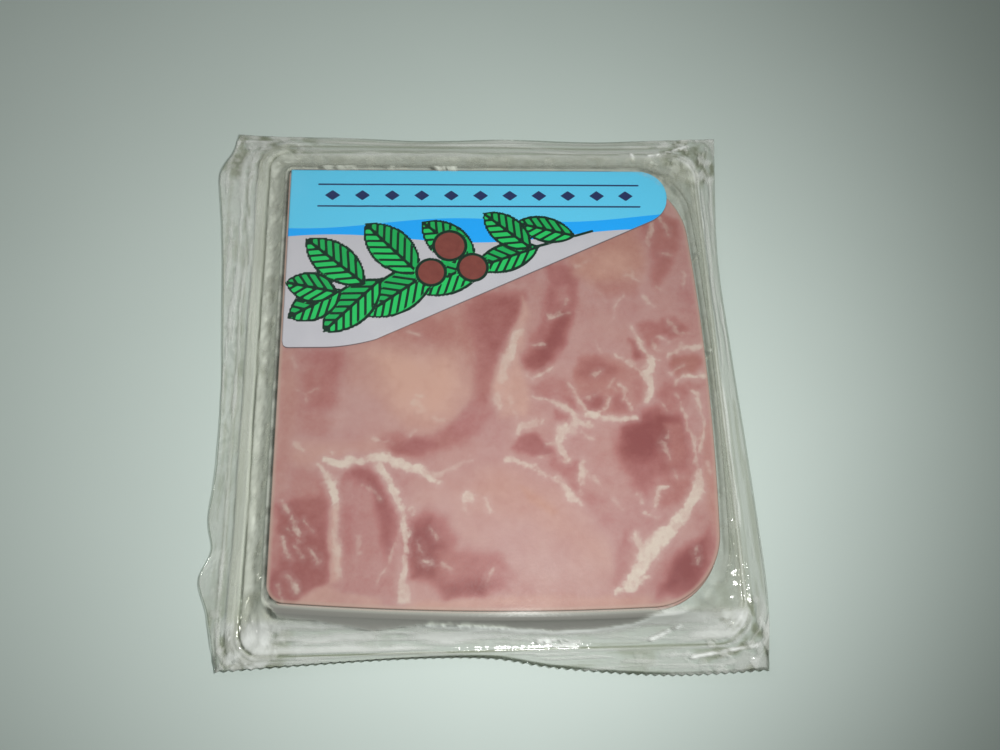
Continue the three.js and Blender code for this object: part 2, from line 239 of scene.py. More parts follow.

# %% [markdown]
# ## The meat's pattern
# Cooked shoulder is several muscles pressed together, each with its own tone, with white fat seams
# between them and thin veins inside. A painter would lay soft patches first and draw the seams on
# top. The same is done here: a muscle is an outline with a soft edge, laid over those before it, and
# a seam is the distance to a given line less half its width, so its edge stays sharp however it
# is enlarged. Both are bent by noise first, as nothing in meat is a true curve.

# %% Muscles: tone, warmth, softness of the edge in mm, then the outline's points
# Tone runs from 0, the darkest red muscle, to 1, the palest. Warmth runs from 0, pink or violet, to
# 1, beige. Each muscle is laid over those before it.
MUSCLES = [
    # the back left muscle, pale and beige in its middle
    (0.66, 0.5, 3.0, [(-39, 9), (-30, 15), (-18, 20), (-7, 22), (-5, 10), (-5, 0), (-7, -6), (-13, -11),
                      (-20, -13), (-28, -12), (-34, -7), (-38, 2)]),
    (0.50, 0.5, 3.0, [(-34, 12), (-22, 12), (-14, 11), (-7, 8), (-6, 20), (-18, 20), (-30, 15)]),
    (0.86, 0.95, 4.5, [(-32, 8), (-22, 9), (-13, 7), (-9.5, 0), (-12, -8), (-18, -10.5), (-25, -6)]),
    (0.70, 0.2, 2.5, [(-40, -2), (-33, -1), (-27, -7), (-24, -12), (-30, -13), (-39, -12)]),
    (0.44, 0.2, 3.0, [(-48.5, 8), (-41, 9.5), (-39.6, 2), (-40, -4.5), (-44, -6.5), (-48.6, -5),
                      (-49.6, 2)]),
    (0.42, 0.2, 2.2, [(-45, 8), (-41, 8), (-41, 0), (-42, -4.5), (-45, -4), (-44, 1)]),
    (0.56, 0.3, 2.0, [(-50, -6), (-43, -6.5), (-40, -9), (-44, -13), (-50, -12)]),
    (0.70, 0.5, 2.0, [(-51, -15), (-40, -14), (-30, -13.5), (-27, -17), (-36, -18), (-43, -18.5),
                      (-47, -21), (-51, -19)]),
    (0.40, 0.2, 2.2, [(-8, 22), (8, 26), (7.6, 21), (4.6, 14), (1.6, 8), (-0.6, 2), (-1.6, -5), (-4, -9),
                      (-8, -14), (-16, -18), (-27, -17.6), (-28.6, -14.5), (-22, -12.6), (-15, -12.8),
                      (-10, -9), (-6, -2), (-5.4, 5), (-7, 12)]),
    (0.50, 0.1, 2.0, [(-10, -9), (-6, -4), (-3, -7), (-6, -13), (-11, -13)]),
    (0.28, 0.2, 2.6, [(-4, 24), (7, 26), (5.6, 18), (2, 11), (-1.4, 7), (-3.4, 12), (-4.6, 18)]),
    (0.30, 0.0, 1.4, [(-26, -16.6), (-22, -13.2), (-18.4, -13.4), (-15, -15.6), (-20, -17.4)]),
    # the left side and its corner
    (0.60, 0.4, 1.5, [(-54.6, 9), (-51, 9), (-50.4, -4), (-51, -28), (-54.6, -28)]),
    (0.55, 0.2, 2.0, [(-51, -27), (-48, -21), (-44.4, -21), (-41.6, -26), (-42, -29), (-47, -29)]),
    (0.32, 0.1, 1.4, [(-53.6, -29), (-49, -28.4), (-44, -27), (-41.6, -29.4), (-40.8, -36),
                      (-40.8, -44), (-42, -48.5), (-46, -51.5), (-51, -54), (-54.4, -54)]),
    (0.24, 0.1, 3.0, [(-50.5, -33), (-44.4, -33), (-42.4, -41), (-43.4, -47.6), (-50, -51.4),
                      (-51.6, -44)]),
    (0.52, 0.2, 1.2, [(-54.6, -28), (-52.8, -28), (-52.6, -44), (-54.6, -46)]),
    (0.74, 0.5, 1.0, [(-48, -51.6), (-42, -48.4), (-38, -50), (-28, -52), (-28, -54.6), (-47, -54)]),
    # the small muscle between two seams
    (0.78, 0.6, 0.9, [(-40.6, -29), (-38.2, -30), (-37.8, -47), (-40.6, -48)]),
    (0.54, 0.1, 0.9, [(-38.4, -22), (-33, -20.5), (-29.5, -22.4), (-26.5, -27), (-24.6, -33),
                      (-24.3, -42), (-25.4, -49), (-31, -51.4), (-37, -50), (-38.2, -42), (-38.6, -30)]),
    (0.30, 0.0, 1.5, [(-37.4, -22.4), (-33, -20.8), (-30, -22.6), (-27.4, -27), (-25.4, -32),
                      (-25, -40), (-26.6, -45), (-28.4, -37), (-29.6, -30), (-31.6, -26), (-35, -24.6)]),
    (0.20, 0.0, 1.4, [(-32, -23.4), (-29.6, -24.6), (-27, -29.6), (-26.6, -33), (-28.6, -30),
                      (-30.6, -26.4)]),
    (0.48, 0.1, 1.0, [(-38.2, -29), (-36, -29.6), (-35.2, -34), (-35.4, -42), (-37, -44.6), (-37.6, -36)]),
    # the pale core at the front
    (0.70, 0.2, 1.8, [(-21.4, -24), (-15, -24.4), (-8, -21), (0, -20.4), (7, -23), (14, -27.6),
                       (20, -32.6), (25, -39), (27, -45), (25, -51), (15, -53), (8, -51), (3, -43),
                       (-5, -41), (-10, -37), (-13, -31), (-21, -30)]),
    (0.69, 0.5, 3.6, [(-12, -26), (0, -22), (10, -27), (20, -36), (24, -44), (16, -40), (6, -34), (-4, -32)]),
    (0.73, 0.1, 3.0, [(0, -38), (10, -42), (20, -46), (18, -50), (8, -49), (-2, -42)]),
    (0.66, 1.0, 1.0, [(4.6, -26.6), (7, -27.4), (13.4, -32.6), (12.4, -33.4), (7, -30)]),
    (0.38, 0.1, 2.0, [(-22, -33), (-18, -31.6), (-13, -34), (-10.4, -39), (-11, -42), (-6, -42.4),
                      (-2, -43), (0.5, -46), (1, -50), (-6, -52.6), (-14, -52), (-17, -48.6),
                      (-21.6, -48), (-22.4, -42)]),
    (0.10, 0.1, 2.2, [(-22, -36), (-17, -34), (-14, -41), (-14.6, -48), (-21, -47.6)]),
    (0.42, 0.2, 1.6, [(-15, -42), (-9, -43.4), (-9, -46.6), (-15, -47)]),
    (0.10, 0.1, 2.2, [(-14, -49.4), (-8, -47.8), (-3, -49), (-5, -51.6), (-12, -51.6)]),
    (0.46, 0.1, 2.0, [(-5, -45), (0, -44.6), (3, -47), (-1, -49.6)]),
    (0.72, 0.6, 1.0, [(-22, -52.6), (40, -52.4), (40, -56), (-22, -55)]),
    # the middle
    (0.80, 0.6, 1.5, [(6.6, 25), (9.6, 20), (8, 14), (6.6, 8), (7, 3), (8, -4), (6, -8.6), (0, -8.6),
                      (-1.4, -3), (0, 4), (3, 10), (5.6, 17)]),
    (0.62, 0.2, 1.5, [(9, 27), (13, 29), (12.6, 20), (9.6, 11), (8, 13)]),
    (0.38, 0.1, 1.6, [(14, 34), (22, 32), (22, 24), (20.6, 19), (18, 12.6), (14.6, 6.4), (12, 3.2),
                      (9, 3), (7.4, 5.6), (8.6, 10), (10.6, 15), (12.6, 20), (13.6, 27)]),
    (0.52, 0.2, 1.4, [(15, 27), (19, 27), (19.4, 22.6), (16, 21.6)]),
    (0.12, 0.05, 1.8, [(16.6, 19.4), (19.6, 18.6), (17.2, 12), (13.6, 6), (11, 3.8), (8.6, 4.8),
                       (10.6, 9), (13.6, 14)]),
    (0.50, 0.1, 1.2, [(8.6, -0.6), (14, 2.4), (19, 1), (20, -2), (20.6, -5.6), (18, -7), (13, -4), (9, -3)]),
    (0.38, 0.1, 1.0, [(16.4, -3.6), (20, -3.4), (20.4, -6), (17.6, -6.6)]),
    (0.52, 0.4, 1.2, [(20, -2), (19.5, 4), (22, 8), (28, 8.4), (33, 6.2), (37, 2.6), (38.6, -1),
                      (37, -5), (34, -8.4), (28, -9), (24, -8), (21, -5.6)]),
    (0.30, 0.3, 1.8, [(20.6, 2), (21.6, 6.8), (26, 7), (30.6, 4.4), (29, 1.6), (24, 0.8)]),
    (0.32, 0.1, 1.1, [(21.6, -3.6), (25, -2.4), (27.8, -4), (26.4, -7), (23.6, -7)]),
    (0.40, 0.2, 1.1, [(29, -3.6), (32, -4), (33.4, -7.6), (29, -8.4)]),
    (0.46, 0.3, 1.0, [(33.6, 0), (37, 0.6), (37, -3.6), (34.6, -5)]),
    (0.34, 0.0, 0.9, [(3, -17), (5.4, -14), (9, -13), (12, -16.4), (13.4, -19), (9, -19.4), (4.4, -18.6)]),
    (0.50, 0.1, 1.0, [(12, -19.4), (16, -18.6), (20, -20.4), (19.4, -24), (21, -26.4), (26, -29.6),
                      (22, -30.6), (18, -28), (15, -24.4), (12, -22)]),
    (0.42, 0.1, 1.0, [(16, -20.4), (19, -20.4), (19, -22.6), (16.4, -22.6)]),
    (0.44, 0.1, 0.8, [(13.6, -6.6), (17.6, -8), (16.6, -10), (13.6, -9.4)]),
    # the right
    (0.34, 0.1, 2.4, [(28.4, -14), (31, -10.4), (36, -9), (42, -6), (46, -5), (47.6, -10), (48.2, -17),
                      (47.6, -23), (43, -24.4), (39, -24), (36, -28), (33, -26), (30.4, -22), (29, -18)]),
    (0.06, 0.1, 2.6, [(30, -16.4), (31.6, -12), (37, -9.6), (42, -7.4), (45.4, -9.6), (44, -16),
                      (35.4, -19.6), (31.4, -19.6)]),
    (0.40, 0.3, 1.4, [(42, -11), (46, -10), (46.4, -20), (42.6, -21)]),
    (0.42, 0.2, 1.6, [(41, -3), (44, 0.6), (50, 0.6), (52.4, -1), (48.6, -4), (46.4, -8), (42, -8)]),
    (0.46, 0.2, 1.4, [(38, -26), (42, -24.6), (48, -25), (47.4, -28), (44, -31.6), (40.4, -33), (38.4, -31)]),
    (0.60, 0.0, 1.8, [(30, -33), (35, -34), (40, -33.4), (44, -32), (40, -37), (34, -38.6), (31, -37)]),
    (0.52, 0.0, 1.3, [(26, -44), (28.6, -37), (31.4, -36), (31.4, -41), (29.4, -46), (27, -50)]),
    (0.58, 0.5, 1.2, [(50, -14), (54, -10), (55, -30), (53.6, -42), (51.4, -40), (50.4, -30)]),
    (0.52, 0.1, 1.5, [(34, -50), (38, -45), (44, -41), (51, -37), (53, -41), (50, -48), (44, -54),
                      (34, -54)]),
    (0.26, 0.05, 1.6, [(35.6, -52.6), (38.6, -48), (42, -43.8), (46, -41), (50, -39), (51, -42),
                       (49, -47), (45.4, -51.4), (42, -53)]),
    (0.02, 0.05, 2.6, [(38, -50.6), (40, -46.4), (44.4, -42), (48, -41.4), (48, -45), (44, -50.6)]),
    # the back right, beside the label
    (0.60, 0.9, 2.6, [(22, 36), (30, 41), (38, 45), (40.6, 40), (41, 33), (39, 28), (33, 27), (27, 28),
                      (22, 30)]),
    (0.74, 1.0, 2.6, [(27, 36), (33, 38), (37, 36), (36, 31), (29, 31)]),
    (0.54, 0.5, 1.8, [(27, 27.6), (39, 28.6), (38, 25), (29, 24.4)]),
    (0.38, 0.3, 1.8, [(41, 46), (46, 51), (51, 47), (51.4, 41), (50, 36), (48, 32.6), (46, 29.6),
                      (43.6, 26), (42, 27.6), (43.6, 34), (42, 39), (40.6, 42)]),
    (0.54, 0.1, 1.5, [(49.4, 36), (53, 38), (53.6, 18), (50, 19)]),
    (0.40, 0.2, 1.4, [(36, 15.6), (38.6, 17), (43, 16.6), (48, 17.6), (51, 15), (49, 12.6), (44, 12),
                      (40.4, 9.6), (37.6, 11.4)]),
    (0.30, 0.1, 1.0, [(33.6, 11.4), (36, 11), (38.4, 7.4), (36, 6.6)]),
    (0.60, 0.0, 1.0, [(42, 13), (45, 13.4), (45.4, 10.6), (42.6, 10.4)]),
    (0.40, 0.5, 1.1, [(44.6, 5.4), (46, 8), (51, 8.6), (53, 6), (51, 3), (47, 2.8)]),
]


def polygon_distance(xy, outline):
    """Distance outside a closed outline, negative inside: the least distance to its sides, with the
    sign from how often a line to the left crosses them."""
    a = np.array(outline, float)
    nearest, inside = np.full(xy.shape[:-1], 99.0), np.zeros(xy.shape[:-1], bool)
    for start, end in zip(a, np.roll(a, -1, axis=0)):
        side, offset = end - start, xy - start
        share = np.clip((offset @ side) / (side @ side), 0, 1)
        nearest = np.minimum(nearest, np.linalg.norm(offset - share[..., None] * side, axis=-1))
        crosses = (xy[..., 1] >= start[1]) != (xy[..., 1] >= end[1])
        at = start[0] + (xy[..., 1] - start[1]) * side[0] / (side[1] or 1e-9)
        inside ^= crosses & (xy[..., 0] > at)
    return np.where(inside, -nearest, nearest)


def muscle_colour(xy):
    """Tone and warmth: each muscle in turn pulls both towards its own, with a soft edge. The points
    are first moved by up to a millimetre of noise, which takes the outlines out of their true shape."""
    bent = xy + 1.6 * np.stack([fractal_noise(xy, 7, 21), fractal_noise(xy, 7, 31)], -1)
    tone, warmth = np.full(xy.shape[:-1], 0.63), np.full(xy.shape[:-1], 0.12)
    for own_tone, own_warmth, softness, outline in MUSCLES:
        cover = smooth_step(softness, -softness, polygon_distance(bent, outline))
        tone = tone + (own_tone - tone) * cover
        warmth = warmth + (own_warmth - warmth) * cover
    tone = tone + 0.09 * fractal_noise(xy, 5, 41) + 0.02 * fractal_noise(xy, 1.3, 51)
    return tone, np.clip(warmth + 0.2 * fractal_noise(xy, 9, 46), 0, 1)


print(len(MUSCLES), "muscles")

# %% Fat seams and veins: half width in mm at the start and the end, strength, then the points
SEAMS = [
    # round the front left muscle
    (0.9, 1.2, 0.9, [(-42.4, -19), (-38.8, -20), (-36, -18.8)]),
    (0.7, 0.8, 0.8, [(-36, -18.8), (-33.4, -19.4), (-31, -18.8)]),
    (1.0, 1.0, 0.9, [(-31, -18.6), (-28.6, -18.2), (-26, -19.6), (-23, -20.6)]),
    (1.0, 0.8, 0.85, [(-23, -20.6), (-19.6, -21.6), (-17, -23.6), (-15, -24.4)]),
    (0.7, 0.4, 0.4, [(-16.4, -23), (-12, -21.6), (-7, -19.4)]),
    (0.35, 0.7, 0.7, [(-44.6, -20.2), (-43, -22), (-41.4, -24.2)]),
    (0.9, 0.8, 0.9, [(-41.4, -24.4), (-40.2, -26.4), (-39.8, -29)]),
    (0.7, 0.8, 0.4, [(-39.8, -29), (-39.2, -34), (-39.4, -40)]),
    (0.9, 0.6, 0.5, [(-39.2, -40), (-38.8, -44), (-38, -46.6)]),
    (0.6, 0.75, 0.85, [(-29.6, -20.4), (-28, -23), (-26, -26), (-24.6, -29)]),
    (0.7, 0.6, 0.8, [(-24.6, -29), (-23.4, -32.4), (-23.1, -36)]),
    (0.6, 0.5, 0.7, [(-23.1, -36), (-22.9, -41), (-23.3, -47)]),
    (0.5, 1.5, 0.65, [(-23.3, -47), (-23.4, -52)]),
    (0.2, 0.2, 0.6, [(-23.2, -32.6), (-21.8, -30.8), (-20.8, -31.2), (-21.2, -32.8)]),
    (0.25, 0.2, 0.35, [(-25.8, -39), (-26.6, -44), (-29.6, -48)]),
    (0.7, 0.5, 0.3, [(-33.6, -37.6), (-34, -41.6)]),
    (0.2, 0.2, 0.4, [(-33.4, -25.4), (-31, -26.4), (-29, -28.6)]),
    # through the middle
    (1.0, 1.5, 0.6, [(6.4, 14.6), (4.4, 11), (3, 8)]),
    (1.3, 0.6, 0.45, [(3, 8), (1.6, 4), (1, 0.6)]),
    (1.0, 0.6, 0.5, [(-0.2, -3.4), (0.4, -5.4)]),
    (0.3, 0.3, 0.3, [(3.4, -3), (3.2, -6), (4.6, -8.4)]),
    (0.3, 0.35, 0.6, [(8, 2.2), (9.2, 1.4), (12, 2.8), (14.4, 4.2)]),
    (0.2, 0.2, 0.4, [(9.8, 10.4), (12, 10.8)]),
    (0.4, 0.3, 0.45, [(14, 18.4), (16, 18.6), (19.4, 19.6)]),
    (0.3, 0.2, 0.35, [(16.6, 19.6), (19, 23)]),
    (0.35, 0.6, 0.55, [(9.4, -3.4), (13, -4.8), (16.2, -5.6)]),
    (0.6, 0.9, 0.6, [(16.2, -5.6), (18.4, -7.6), (19.4, -10)]),
    (0.35, 0.5, 0.75, [(20, -3.2), (20.8, -5.6), (22.6, -7.6)]),
    (0.8, 0.8, 0.85, [(22.6, -7.8), (24.6, -8.6)]),
    (0.5, 0.5, 0.7, [(24.6, -8.6), (27.4, -9), (30.6, -9.6), (35, -9)]),
    (0.2, 0.2, 0.5, [(20.8, -4.6), (23, -3), (25.6, -2)]),
    (0.25, 0.2, 0.55, [(24.8, -8.2), (27.2, -6), (28.4, -3.4)]),
    (0.35, 0.35, 0.6, [(31.2, -0.4), (33, -2.4), (32.6, -4.2), (34.2, -6.8)]),
    (0.2, 0.2, 0.45, [(18.8, -0.4), (19.6, -1.6), (20.4, -3.2)]),
    (0.2, 0.2, 0.4, [(29.8, 0.8), (28.6, -0.6), (30, -2)]),
    (0.2, 0.2, 0.4, [(24.6, 2.2), (26.4, 3.6)]),
    # the white knot beside them
    (0.25, 0.5, 0.55, [(30.6, 8), (33.6, 6), (36, 3.4), (38.4, 1)]),
    (0.3, 0.6, 0.65, [(36.8, 12.2), (37.6, 9.4), (39.4, 6.8)]),
    (0.8, 1.1, 0.75, [(39.6, 6.8), (40, 4.6)]),
    (1.1, 0.7, 0.75, [(40, 4.6), (38.8, 2.6), (39.2, -0.8), (38, -4.4)]),
    (0.25, 0.2, 0.5, [(36.2, 15.6), (36.2, 12.2)]),
    (0.3, 0.3, 0.4, [(37, 3.6), (40, 5.4), (41.4, 6)]),
    (0.3, 0.8, 0.6, [(44.4, 7.4), (47.6, 9.4), (50, 9.8), (54, 10)]),
    (0.25, 0.6, 0.75, [(45.6, 0), (47.8, 1.3), (50, 1.6), (54, 1.5)]),
    (0.25, 0.2, 0.35, [(45, 3), (48, 4.4)]),
    (0.2, 0.2, 0.4, [(41.6, -4.8), (43, -7.6)]),
    (0.3, 0.3, 0.6, [(49.6, -2.4), (51.2, -3.4), (51.4, -7)]),
    (0.4, 0.5, 0.5, [(51.4, -7), (52.2, -11), (50.6, -15), (50, -18)]),
    (0.3, 0.5, 0.4, [(46, -3.4), (47.6, -9), (48.4, -15)]),
    (0.5, 0.7, 0.5, [(48.4, -15), (49, -20), (49.2, -24)]),
    (0.3, 0.3, 0.4, [(51.6, -21), (52.4, -24)]),
    # the broad seam of the front right corner
    (0.7, 1.1, 0.75, [(49.4, -23), (48.6, -27)]),
    (1.1, 1.5, 0.9, [(48.6, -27), (46.6, -31), (44, -34.6)]),
    (1.5, 1.7, 1.0, [(44, -34.6), (41.6, -37.4), (38.6, -39.6), (35.4, -42.4)]),
    (0.6, 1.2, 0.8, [(32.4, -38.8), (33.2, -41), (34.2, -43)]),
    (1.6, 1.3, 1.0, [(34.8, -42.6), (32.6, -46.4), (31.6, -48.6)]),
    (1.4, 1.7, 1.0, [(31.6, -48.6), (30, -50.4)]),
    (1.0, 0.4, 0.9, [(30.4, -51), (26.6, -52)]),
    (0.8, 0.5, 0.8, [(31.6, -50), (34, -48.4)]),
    (0.3, 0.2, 0.45, [(46.6, -42), (46.2, -45.4)]),
    # short pieces of fat in the middle
    (0.6, 0.9, 0.5, [(5, -13), (5.8, -11.2), (8, -10.6)]),
    (0.9, 0.5, 0.6, [(8, -10.4), (10.8, -9.8)]),
    (1.1, 0.9, 0.9, [(17, -11), (15.4, -13.2), (14.4, -15.2)]),
    (0.9, 0.7, 0.8, [(14.4, -15.2), (15.4, -18), (17, -20)]),
    (0.6, 0.4, 0.5, [(14.4, -15.6), (12, -15.6)]),
    (0.9, 0.6, 0.55, [(19, -8.6), (18.6, -12.4)]),
    (0.7, 0.6, 0.6, [(20, -10), (23.4, -11.6)]),
    (0.2, 0.2, 0.35, [(20.4, -13), (23.4, -15)]),
    (0.5, 0.35, 0.65, [(2, -19.2), (4.6, -19.6), (7.4, -21.2)]),
    (0.3, 0.35, 0.55, [(7.4, -21.2), (10.4, -23), (13.6, -24.6)]),
    (0.5, 0.9, 0.7, [(13.6, -24.6), (15.4, -26.6), (17, -28.4)]),
    (0.8, 0.2, 0.6, [(17, -28.4), (20, -31)]),
    (0.9, 0.6, 0.65, [(20.6, -22.4), (19.6, -24)]),
    (0.25, 0.2, 0.5, [(20.6, -22.4), (21, -20.4)]),
    (0.3, 0.25, 0.45, [(20.2, -24.6), (19.8, -28.4)]),
    (0.2, 0.2, 0.35, [(21.4, -23.6), (25.4, -27)]),
    (0.35, 0.2, 0.3, [(27, -29.6), (29.4, -32.6)]),
    (0.25, 0.2, 0.35, [(10, -19), (12.4, -18.6)]),
    (0.4, 0.45, 0.75, [(41, -27), (39, -27.8), (38.2, -29.6)]),
    (0.45, 0.25, 0.65, [(38.2, -29.6), (37.6, -32.4)]),
    (0.4, 0.25, 0.6, [(35.4, -33.4), (36.8, -33.8), (38.6, -34.8)]),
    (0.2, 0.2, 0.4, [(33.6, -29), (34.8, -31.4)]),
    (0.3, 0.3, 0.4, [(43, -23.6), (43.8, -24.2)]),
    (0.3, 0.3, 0.35, [(41, -16), (42, -20)]),
    (0.2, 0.2, 0.35, [(42.4, -13), (41.8, -15)]),
    (0.9, 0.8, 0.8, [(-8.2, -28.2), (-7, -28.4)]),
    (0.4, 0.3, 0.75, [(-3.8, -29.6), (-3.2, -31.6)]),
    (0.3, 0.2, 0.4, [(-8.4, -30.4), (-8.8, -31.4)]),
    # streaks in the left corner's dark muscle
    (0.2, 0.3, 0.5, [(-52, -29), (-50.6, -31.6)]),
    (0.2, 0.45, 0.6, [(-49.6, -32.4), (-48, -36.4)]),
    (0.15, 0.25, 0.35, [(-46.6, -33.4), (-45, -36)]),
    (0.15, 0.25, 0.35, [(-50.4, -35.4), (-47.4, -38.4)]),
    (0.2, 0.35, 0.6, [(-51.4, -37.6), (-50, -42)]),
    (0.15, 0.25, 0.35, [(-48.6, -39.6), (-47, -42)]),
    (0.2, 0.3, 0.5, [(-45.2, -40), (-43.6, -43)]),
    (0.2, 0.4, 0.6, [(-50.4, -46), (-48, -49.6)]),
    (0.2, 0.3, 0.5, [(-52, -48.4), (-50.8, -52)]),
    (0.2, 0.2, 0.4, [(-20, -39), (-18.6, -41.6)]),
    (0.35, 0.35, 0.6, [(-18.4, -43.8), (-17, -44)]),
    (0.25, 0.2, 0.35, [(-14, -44.4), (-12, -46)]),
    (0.25, 0.2, 0.4, [(-2.6, -45.8), (-3.8, -48.4)]),
    (0.2, 0.2, 0.35, [(-17, -36), (-15.6, -38)]),
    # veins in the back left muscle
    (0.25, 0.3, 0.35, [(-49.6, -0.8), (-47.6, -2.2), (-47.4, -4)]),
    (0.25, 0.2, 0.35, [(-47.6, -2.2), (-45.6, -0.6)]),
    (0.4, 0.3, 0.35, [(-22.6, 14.8), (-19.6, 13.4)]),
    (0.9, 0.7, 0.3, [(-20.6, -4.6), (-19.6, -6.4)]),
    (0.4, 0.3, 0.3, [(-20, -2.4), (-19, -2.8)]),
    (0.3, 0.3, 0.35, [(-16, -8.8), (-14, -9.2)]),
    (0.35, 0.3, 0.4, [(-21.6, -13.4), (-20.2, -12.2)]),
    (0.5, 0.35, 0.35, [(-31, -14), (-27.6, -14.4)]),
    (0.8, 0.4, 0.5, [(-49, -14.8), (-48.2, -16.4)]),
    (0.4, 0.3, 0.5, [(-41, -17), (-40, -18)]),
    (0.3, 0.2, 0.3, [(-52, 8), (-51, 5)]),
    # the back right
    (0.5, 0.45, 0.4, [(43.8, 46.4), (43.2, 43), (42.2, 40)]),
    (0.35, 0.25, 0.45, [(46.2, 48), (47.2, 45.6), (48.2, 43)]),
    (0.25, 0.25, 0.45, [(45.2, 36.4), (46.8, 36.8), (48.4, 36.2)]),
    (0.3, 0.3, 0.5, [(35, 30.4), (37.2, 29.8), (38.6, 28.8)]),
    (0.3, 0.2, 0.45, [(37.2, 29.8), (37.2, 31.6)]),
    (0.3, 0.2, 0.4, [(33.8, 24.2), (31.6, 21.4), (31, 17.6)]),
    (0.2, 0.25, 0.35, [(39.4, 24.4), (41.8, 21.2)]),
    (0.2, 0.2, 0.3, [(27.6, 25.4), (29.4, 23.2)]),
    (0.2, 0.2, 0.3, [(22, 33), (25, 35)]),
    (0.3, 0.2, 0.4, [(50.8, 30.6), (50.4, 26.4)]),
    (0.4, 0.3, 0.35, [(43.2, 27), (44.4, 26)]),
    (0.3, 0.3, 0.4, [(47, 14.6), (48.4, 13), (50.4, 13.8)]),
    (0.25, 0.2, 0.35, [(42.4, 12.6), (44.8, 11.2), (47.4, 11.6)]),
    (0.25, 0.2, 0.35, [(45.6, 17), (47.2, 15.4)]),
    (0.3, 0.3, 0.4, [(40.6, 10.4), (43, 9.2)]),
    (0.2, 0.2, 0.3, [(26, 12), (27.4, 9)]),
]


def distance_to_line(xy, points, start_width, end_width):
    """The least, over the line's stretches, of the distance to it less its half width there."""
    points = np.array(points, float)
    steps = np.diff(points, axis=0)
    lengths = np.linalg.norm(steps, axis=1)
    reached = np.concatenate([[0], np.cumsum(lengths)])
    nearest = np.full(xy.shape[:-1], 9.0)
    for i, (step, length) in enumerate(zip(steps, lengths)):
        offset = xy - points[i]
        share = np.clip((offset @ step) / length**2, 0, 1)
        width = start_width + (end_width - start_width) * (reached[i] + share * length) / reached[-1]
        nearest = np.minimum(nearest, np.linalg.norm(offset - share[..., None] * step, axis=-1) - width)
    return nearest


def fat_seams(xy):
    """How far outside the nearest seam a point is, in mm, and how strong that seam is."""
    ragged = xy + 1.0 * np.stack([fractal_noise(xy, 3.0, 61), fractal_noise(xy, 3.0, 71)], -1)
    nearest, strength = np.full(xy.shape[:-1], 3.0), np.zeros(xy.shape[:-1])
    for start_width, end_width, own_strength, points in SEAMS:
        distance = distance_to_line(ragged, points, start_width, end_width)
        strength = np.where(distance < nearest, own_strength, strength)
        nearest = np.minimum(distance, nearest)
    return nearest + 0.5 * fractal_noise(xy, 1.8, 81, octaves=3), strength


print(len(SEAMS), "seams and veins")

# %% [markdown]
# ## The slices
# Each slice is one closed surface: a grid over one face, a rounded band down its side and a fan on
# the hidden face. A grid of squares can't follow a rounded outline, so it is bent: a grid point's
# ring, the larger of its two distances from the middle, says how far out it lies, and its place on
# that square ring says where round the outline. The grid is fine where it shows, as it carries the
# pattern, and coarse on the two slices inside the stack.

# %% Slice surfaces
def round_the_ring(a, b):
    """How far out, 0 to 1, and where round the four sides, 0 to 4, a point of a square lies."""
    ring = np.maximum(np.maximum(np.abs(a), np.abs(b)), 1e-9)
    x, y = a / ring, b / ring
    places = [(x + 1) / 2, 1 + (y + 1) / 2, 2 + (1 - x) / 2]
    return ring, np.select([y <= -1, x >= 1, y >= 1], places, 3 + (1 - y) / 2) % 4


def ring_of_grid(columns, rows):
    """The numbers of a grid's outer points, counter-clockwise from its front left corner."""
    numbers = np.arange(columns * rows).reshape(rows, columns)
    return np.concatenate([numbers[0, :-1], numbers[:-1, -1], numbers[-1, :0:-1], numbers[:0:-1, 0]])


# How each slice lies: shift right, shift back and growth in mm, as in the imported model.
SLICE_LIE = [(-0.3, 0.2, 0.1), (0.4, -0.2, -0.2), (0.2, -0.6, 0.1), (0, 0, 0)]
SLICE_MIDDLE = np.array([-1.0, 4.0])
EDGE_RADIUS = 0.35
EDGE_TURNS = np.radians([60, 30, 0, 0, -30, -60])  # the side's rows, as turns about its two edges
EDGE_IS_UPPER = np.array([True, True, True, False, False, False])
OTHER_CUT = np.array([9.0, -7.0])  # how far apart the cuts of two slices are in the pattern


def slice_points(number, columns, rows, underside):
    """Points in mm of a slice with its face up: the face's grid, the side's rows and the fan.
    The side goes out by the radius times cos and down by it times sin of each turn."""
    low, high = (corner[2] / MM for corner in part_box(f"slice_{number}"))
    right, back, growth = SLICE_LIE[number - 1]
    shift = np.array([right, back])
    a, b = np.meshgrid(np.linspace(-1, 1, columns), np.linspace(-1, 1, rows))
    share, u = round_the_ring(a.ravel(), b.ravel())
    outline = bowed_loop(u, SLICE, growth - EDGE_RADIUS)
    face = SLICE_MIDDLE + share[:, None] * (outline - SLICE_MIDDLE) + shift
    u = u[ring_of_grid(columns, rows)]
    side = [bowed_loop(u, SLICE, growth - EDGE_RADIUS * (1 - np.cos(t))) + shift for t in EDGE_TURNS]
    centre_z = np.where(EDGE_IS_UPPER, high - EDGE_RADIUS, low + EDGE_RADIUS)
    side_z = np.repeat(centre_z + EDGE_RADIUS * np.sin(EDGE_TURNS), len(u))
    far = np.concatenate([bowed_loop(u, SLICE, growth - EDGE_RADIUS) + shift, [SLICE_MIDDLE + shift]])
    pattern = face * [-1, 1] if underside else face
    inside = smooth_step(0, -2, slice_distance(face - shift, growth))
    relief = 0.06 * fractal_noise(pattern, 4, 91)
    face_z = high - inside * (0.1 - relief)
    z = np.concatenate([face_z, side_z, np.full(len(far), low)])
    xy = np.concatenate([face, *side, far])
    return np.column_stack([xy, low + high - z if underside else z]), xy - shift, growth


